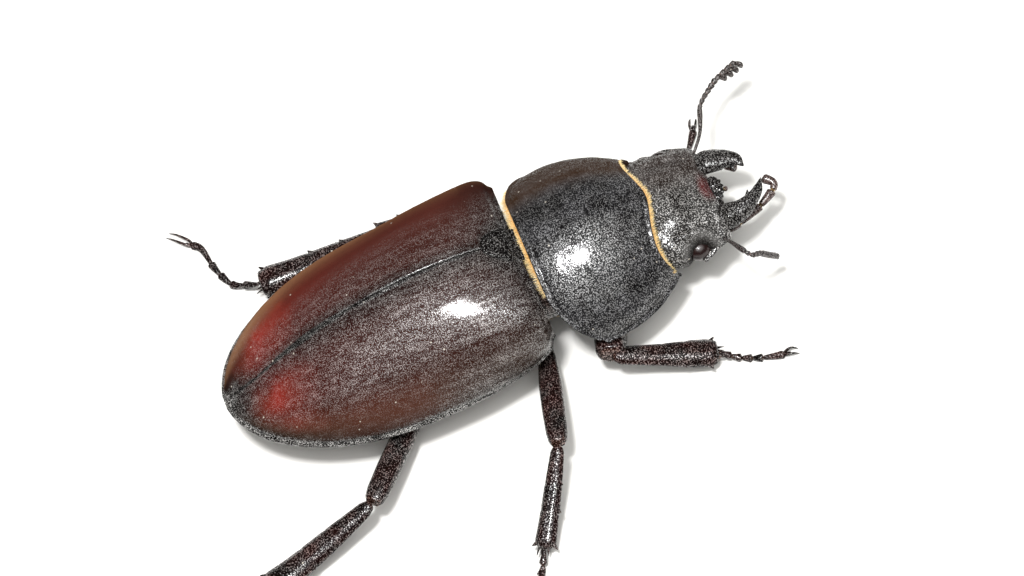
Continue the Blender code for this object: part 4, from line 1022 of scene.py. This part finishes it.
def foot_and_claws(joints, side, ankle, away):
    """Five segments along the floor, then two hooked claws with a small pad between them."""
    toes = [ankle + away * 0.02, *route([(*at, SOLE) for at in joints["foot"]], side)]
    claw, = route([(*joints["claw"], SOLE)], side)
    reach = claw - toes[-1]
    toes.append(toes[-1] + reach * 0.3)
    toes.insert(1, toes[0] * 0.55 + toes[1] * 0.45 - (0, 0, 0.1 * (toes[0][2] - toes[1][2])))
    foot = jointed(toes, (0, 0.2, 0.36, 0.52, 0.68, 1), (0.2, 0.24, 0.24, 0.24, 0.23), 0.75, 0.06, 0.5, 190,
                   depth=0.95, hairy=lambda s, a: 0.25 + np.clip(-np.sin(a), 0, 1))
    heading = unit(reach)
    sideways, root, t = np.cross(heading, (0, 0, 1)), toes[-1] - heading * 0.05, spaced(20)
    pad = root + heading * (0.5 * t)[:, None] - np.array((0, 0, 0.05)) * t[:, None]
    claws = sweep(pad, 0.07 * blunt(t, 0.5, 0.07), 0.06 * blunt(t, 0.5, 0.07), 14)
    for lean in (1, -1):
        far = claw + sideways * lean * 0.2
        line, share = course((
            root + sideways * lean * 0.06, root + heading * 0.35 + sideways * lean * 0.2 + (0, 0, 0.16),
            root * 0.35 + far * 0.65 + sideways * lean * 0.1 + (0, 0, 0.14), far - (0, 0, SOLE - 0.05)), 34)
        claws = claws + sweep(line, 0.115 * (1.03 - share) ** 0.6, 0.13 * (1.03 - share) ** 0.6, 14)
    return foot, claws


def leg(pair, letter, joints):
    """One leg's hip block, thigh, shin, foot and claws, by their nodes' names."""
    side = 1 if letter == "l" else -1
    hip, knee, ankle = route((joints["hip"], joints["knee"], joints["ankle"]), side)
    centre, radii = COXA[pair]
    foot, claws = foot_and_claws(joints, side, ankle, unit(ankle - knee))
    return {"coxa": dome(*route((centre,), side), radii, 28, 44), "femur": thigh(pair, hip, knee),
            "tibia": shin(pair, side, knee, ankle), "tarsus": foot, "claw": claws}


# ---------------------------------------------------------------- underside

# stations of the belly's tip, its joint with the chest, the end of its full depth, and the waist
BELLY_FROM, BELLY_SPLIT, BELLY_TO, WAIST = 1.2, 13.5, 21.8, 24.3
THROAT_LENGTH = 7.1
belly_depth = profile(((BELLY_FROM, 0.7), (4, 1.3), (8, 1.55), (13, 1.7), (18, 1.75), (BELLY_TO, 1.6)))
PLATE_EDGES = (3.6, 6.0, 8.3, 10.6)  # stations where one belly plate laps over the next


def trunk_ring(station, angle):
    """(across, height) round the trunk. Angle 0 is its left edge, and a quarter turn is the top of its back."""
    width = np.maximum(case_half_width(station) - 0.75, 0.3)
    base = case_margin(station)
    top = np.maximum(case_top(station) - 0.85, base + 0.2)
    reach = np.where(np.sin(angle) > 0, (top - base) * 0.9, belly_depth(station))
    return width * np.sign(np.cos(angle)) * np.abs(np.cos(angle)) ** 0.95, base + reach * np.sin(angle)


def underneath(angle):
    """1 on the lower face of a ring, 0 on its sides and back."""
    return fade(-np.sin(angle), 0.0, 0.3)


def downy(rings, relief, station, angle, hairy, droop):
    """A piece of the trunk with its relief raised, and down on it that lies backward and droops a little."""
    return closed_loft(rings + facing(rings, True) * relief[..., None], hairy=hairy + 0 * station,
                       lie=np.zeros(rings.shape) + (0, 1.0, -droop),
                       Skin=skin_map(station / 45 + 0.1, angle / (2 * math.pi)))


def abdomen():
    """The belly: five plates that each lap over the one behind."""
    station = (BELLY_FROM - 0.1) + (BELLY_SPLIT - BELLY_FROM + 0.1) * np.linspace(0, 1, 180)[:, None] ** 1.2
    angle = circle(160)
    across, height = trunk_ring(station, angle)
    shrink = np.clip((station - BELLY_FROM + 0.12) / 1.4, 0.02, 1) ** 0.4
    rings = spots(across * shrink, station, case_margin(station) + (height - case_margin(station)) * shrink)
    bend = 0.4 * (np.abs(across) / 6) ** 2
    relief = sum(-0.12 * hump(station + bend - edge, 0.09) + 0.05 * fade(station + bend, edge - 0.5, edge)
                 * (1 - fade(station + bend, edge, edge + 0.05)) for edge in PLATE_EDGES)
    return downy(rings, underneath(angle) * relief + 0.02 * uneven(rings, 1.4, 5.0), station, angle,
                 underneath(angle) * 0.6, 0.2)


def chest():
    """The chest behind the pronotum: a broad plate between the legs, with a seam along its middle, and a waist."""
    station = BELLY_SPLIT - 0.25 + (WAIST - BELLY_SPLIT + 0.25) * np.linspace(0, 1, 170)[:, None]
    angle = circle(160)
    across, height = trunk_ring(np.minimum(station, BELLY_TO), angle)
    waist = fade(station, 21.2, 22.9)
    across = across * (1 - waist) + waist * 4.1 * np.cos(angle)
    height = height * (1 - waist) + waist * (4.6 + np.where(np.sin(angle) > 0, 3.0, 1.9) * np.sin(angle))
    rings = spots(across, station, height)
    relief = underneath(angle) * beads(
        (-0.12 * (1 - fade(station, 18, 20)), across, 0.12), (0.1 * fade(station, 17, 20), across, 1.4),
        (-0.14, station - 18.9, 0.1), (-0.1, np.abs(across) - 5.0, 0.1))
    return downy(rings, relief + 0.03 * uneven(rings, 1.6, 6.0), station, angle,
                 underneath(angle) * (0.5 + 0.5 * fade(np.abs(across), 1.5, 3.5)), 0.1)


def throat():
    """The front chest below the pronotum, with the blade that parts the front legs' hip blocks."""
    station, angle = WAIST + THROAT_LENGTH * np.linspace(0, 1, 120)[:, None], circle(160)
    width = (pronotum_half_width(station) - 0.7) * (0.62 + 0.38 * fade(station, WAIST, 27))
    margin = pronotum_margin(station) + 0.05
    above = pronotum_top(station) - 0.75 - margin
    below = 2.0 * (1 - 0.35 * ((station - WAIST) / THROAT_LENGTH) ** 2)
    across = width * np.cos(angle)
    rings = spots(across, station, margin + np.where(np.sin(angle) > 0, above, below) * np.sin(angle))
    blade = 0.3 * fade(station, 25.2, 26.4) * (1 - fade(station, 28.6, 29.8))
    relief = underneath(angle) * beads((blade, across, 0.35), (-0.1, np.abs(across) - 4.6, 0.12))
    return downy(rings, relief + 0.03 * uneven(rings, 1.5, 7.0), station, angle, underneath(angle) * 0.8, 0.1)


# ---------------------------------------------------------------- hair

def fringe(edge, backward):
    """A strip of skin 0.2 mm wide along an edge's points, for a fringe that lies backward (1) or forward (-1)."""
    lie = np.array((0.0, backward, 0.0))
    rows = np.stack([edge - lie * 0.2 * t for t in (0, 0.5, 1)])
    return Form(rows, [tuple(f) for f in cells(*rows.shape[:2])], hairy=np.ones(rows.shape[:2]),
                lie=np.broadcast_to(lie, rows.shape),
                Skin=skin_map(np.linspace(0, 1, len(edge))[None, :], np.array((0.1, 0.12, 0.14))[:, None]))


# ---------------------------------------------------------------- the beetle

BRISTLES = bristle_tree()
wing_case_finish = wing_case_cuticle()
# how far apart the pits are, the dull level, the grain's height, roughness and how pale the painted glints are,
# then black and the painted sheen colour
shield_finish = hard_cuticle("shield_cuticle", 0.17, 0.545, 0.024, 0.26, 0.13, "242426", "5b5b5f")
head_finish = hard_cuticle("head_cuticle", 0.19, 0.545, 0.04, 0.28, 0.32, "383430", "8a8886", "62282a")
scutellum_finish = hard_cuticle("scutellum_cuticle", 0.2, 0.57, 0.05, 0.3, 0.18, "100f0e", "302c2a")
jaw_finish = hard_cuticle("jaw_cuticle", 0.19, 0.55, 0.03, 0.24, 0.2, "1a1817", "464341")
belly_finish = hard_cuticle("belly_cuticle", 0.2, 0.52, 0.02, 0.3, 0.08, "21140f", "4a2e24")
leg_finish = hard_cuticle("leg_cuticle", 0.2, 0.565, 0.03, 0.24, 0.16, "1c100d", "52261f")
palp_finish = mouth_cuticle("palp_cuticle", "35120b", "54240f", "c09a50")
feeler_finish = mouth_cuticle("feeler_cuticle", "1c0e0b", "33170f", "6b3a1c")
eye_finish = compound_eye()
golden_hair = bristle_finish("golden_hair", "c08a3c", "ffeab0")
brown_bristle = bristle_finish("brown_bristle", "2a130a", "7a4a22")

for letter, side, seed in (("l", 1, 0.4), ("r", -1, 2.9)):
    jaw_palp, lip_palp = palps(letter, side)
    scape, stalk, club = feeler(letter, side)
    for node, form, finish, slot in (
            ("wing_case", wing_case(side, seed), wing_case_finish, "wing_case"),
            ("eye", dome(*route((EYE_AT,), side), EYE_RADII, 28, 40), eye_finish, "eye"),
            ("mandible", mandible(letter, side), jaw_finish, "black_shell"),
            ("maxillary_palp", jaw_palp, palp_finish, "mouthpart"),
            ("labial_palp", lip_palp, palp_finish, "mouthpart"),
            ("scape", scape, feeler_finish, "feeler"),
            ("funicle", stalk, feeler_finish, "feeler"),
            ("club", club, feeler_finish, "feeler")):
        skin(f"{node}_{letter}", form, finish)
lip_centre = (0.05, -37.0, 4.98)
lip = dome(lip_centre, (0.98, 0.7, 0.38), 60, 80)
lip.points = lip.points + (lip.points - lip_centre) * 0.12 * uneven(lip.points, 0.35, 1.0)[:, None]
skin("scutellum", scutellum(), scutellum_finish)
skin("pronotum", pronotum(), shield_finish)
skin("head", head(), head_finish)
skin("labrum", lip, scutellum_finish)
skin("mentum", dome((0, -36.9, 3.75), (1.8, 0.5, 0.4)), belly_finish)

trunk = {"abdomen": abdomen(), "chest": chest(), "throat": throat()}
for node, form in trunk.items():
    skin(node, form, belly_finish)

leg_hair, foot_hair = [], []
for (pair, letter), joints in LEGS.items():
    forms = leg(pair, letter, joints)
    for part, form in forms.items():
        skin(f"{pair}_{part}_{letter}", form, leg_finish)
    leg_hair += [forms["femur"], forms["tibia"]]
    foot_hair.append(forms["tarsus"])

# each fringe grows from the shield's edge, thinner toward the corners and a little ragged
turns = np.linspace(-0.47, 0.66, 200)
bare = 0.26 * np.abs(np.linspace(-1, 1, 200)) ** 3 + 0.05 * np.sin(turns * 31) * np.sin(turns * 17)
rear_edge = pronotum_spots(pronotum_rear(turns) - 0.02 + bare, turns, 0.08)
turns = np.linspace(-0.82, 0.62, 200)
front_edge = pronotum_spots(pronotum_front(turns) + 0.02 - bare, turns, 0.08)
for name, form, finish, slot, *sizes in (  # the numbers are those that SIZES names
        ("leg_bristles", together(leg_hair), brown_bristle, "leg", 9.0, 0.34, 0.035, 0.72, 0.15, 0.15, 3),
        ("foot_bristles", together(foot_hair), brown_bristle, "leg", 22.0, 0.28, 0.028, 0.6, 0.1, 0.25, 4),
        ("pronotum_rear_fringe", fringe(rear_edge, 1), golden_hair, "black_shell",
         480.0, 0.6, 0.03, 0.92, 0.06, 0.28, 5),
        ("pronotum_front_fringe", fringe(front_edge, -1), golden_hair, "black_shell",
         520.0, 0.4, 0.03, 0.92, 0.06, 0.3, 6),
        ("belly_hair", together(list(trunk.values())), golden_hair, "underside",
         7.0, 0.5, 0.02, 0.75, 0.2, 0.2, 7)):
    bristles(name, form, finish, slot, *sizes)

# ---------------------------------------------------------------- floor, light and camera

floor = put_out("floor", bpy.data.meshes.new("floor"))
floor.data.from_pydata([(-1, -1, 0), (1, -1, 0), (1, 1, 0), (-1, 1, 0)], [], [(0, 1, 2, 3)])
floor.data.materials.append(studio_paper())

KEY_LEAN, KEY_FAR = math.radians(12), 0.35  # a round soft lamp over the wing cases' middle
lamp = bpy.data.lights.new("key", "AREA")
lamp.shape, lamp.size, lamp.energy = "DISK", 0.05, 1.3
to_lamp = Vector((-math.sin(KEY_LEAN), 0.05, math.cos(KEY_LEAN))).normalized()
key = put_out("key", lamp)
key.location = Vector((MIDLINE, STATION_ZERO - 17.5 * MM, 0.009)) + to_lamp * KEY_FAR
key.rotation_euler = (-to_lamp).to_track_quat("-Z", "Y").to_euler()
world = bpy.data.worlds.new("studio")
world.use_nodes = True
sky = world.node_tree
overhead = Vector((-0.26, -0.1, 0.96))  # the brightest part of a large soft ceiling
nearness = add(sky, "ShaderNodeVectorMath", {0: add(sky, "ShaderNodeTexCoord").outputs["Generated"], 1: overhead},
               operation="DOT_PRODUCT").outputs["Value"]
glow = add(sky, "ShaderNodeMapRange", {"Value": nearness, "From Min": 0.72, "From Max": 1.0,
                                       "To Min": 0.1, "To Max": 3.7}, interpolation_type="SMOOTHSTEP")
wire(sky, sky.nodes["Background"], {"Color": colour("f4f4f2"), "Strength": glow})
bpy.context.scene.world = world

# the camera stands AWAY metres off, TILT from straight above, turned by ROLL, and takes in FRAME_WIDTH metres
TILT, ROLL, AWAY, FRAME_WIDTH, SENSOR = math.radians(30), math.radians(23), 0.3, 0.07186, 36
AIM_STATION, AIM_HEIGHT, VIEW_DROP = 21.3, 0.0045, 0.0006  # where it looks, and how far the view is then lowered
up_image = Vector((math.cos(TILT), 0, math.sin(TILT)))
right_image = Vector((0, -1, 0))
back = Vector((-math.sin(TILT), 0, math.cos(TILT)))
right = right_image * math.cos(ROLL) - up_image * math.sin(ROLL)
up = right_image * math.sin(ROLL) + up_image * math.cos(ROLL)
middle = Vector((MIDLINE, STATION_ZERO - AIM_STATION * MM, AIM_HEIGHT)) - up_image * VIEW_DROP
lens = bpy.data.cameras.new("camera")
lens.sensor_width, lens.lens, lens.clip_start = SENSOR, SENSOR * AWAY / FRAME_WIDTH, 0.01
camera = put_out("camera", lens)
camera.matrix_world = Matrix.Translation(middle + back * AWAY) @ Matrix((right, up, back)).transposed().to_4x4()
bpy.context.scene.camera = camera
bpy.context.scene.view_settings.view_transform = "Standard"
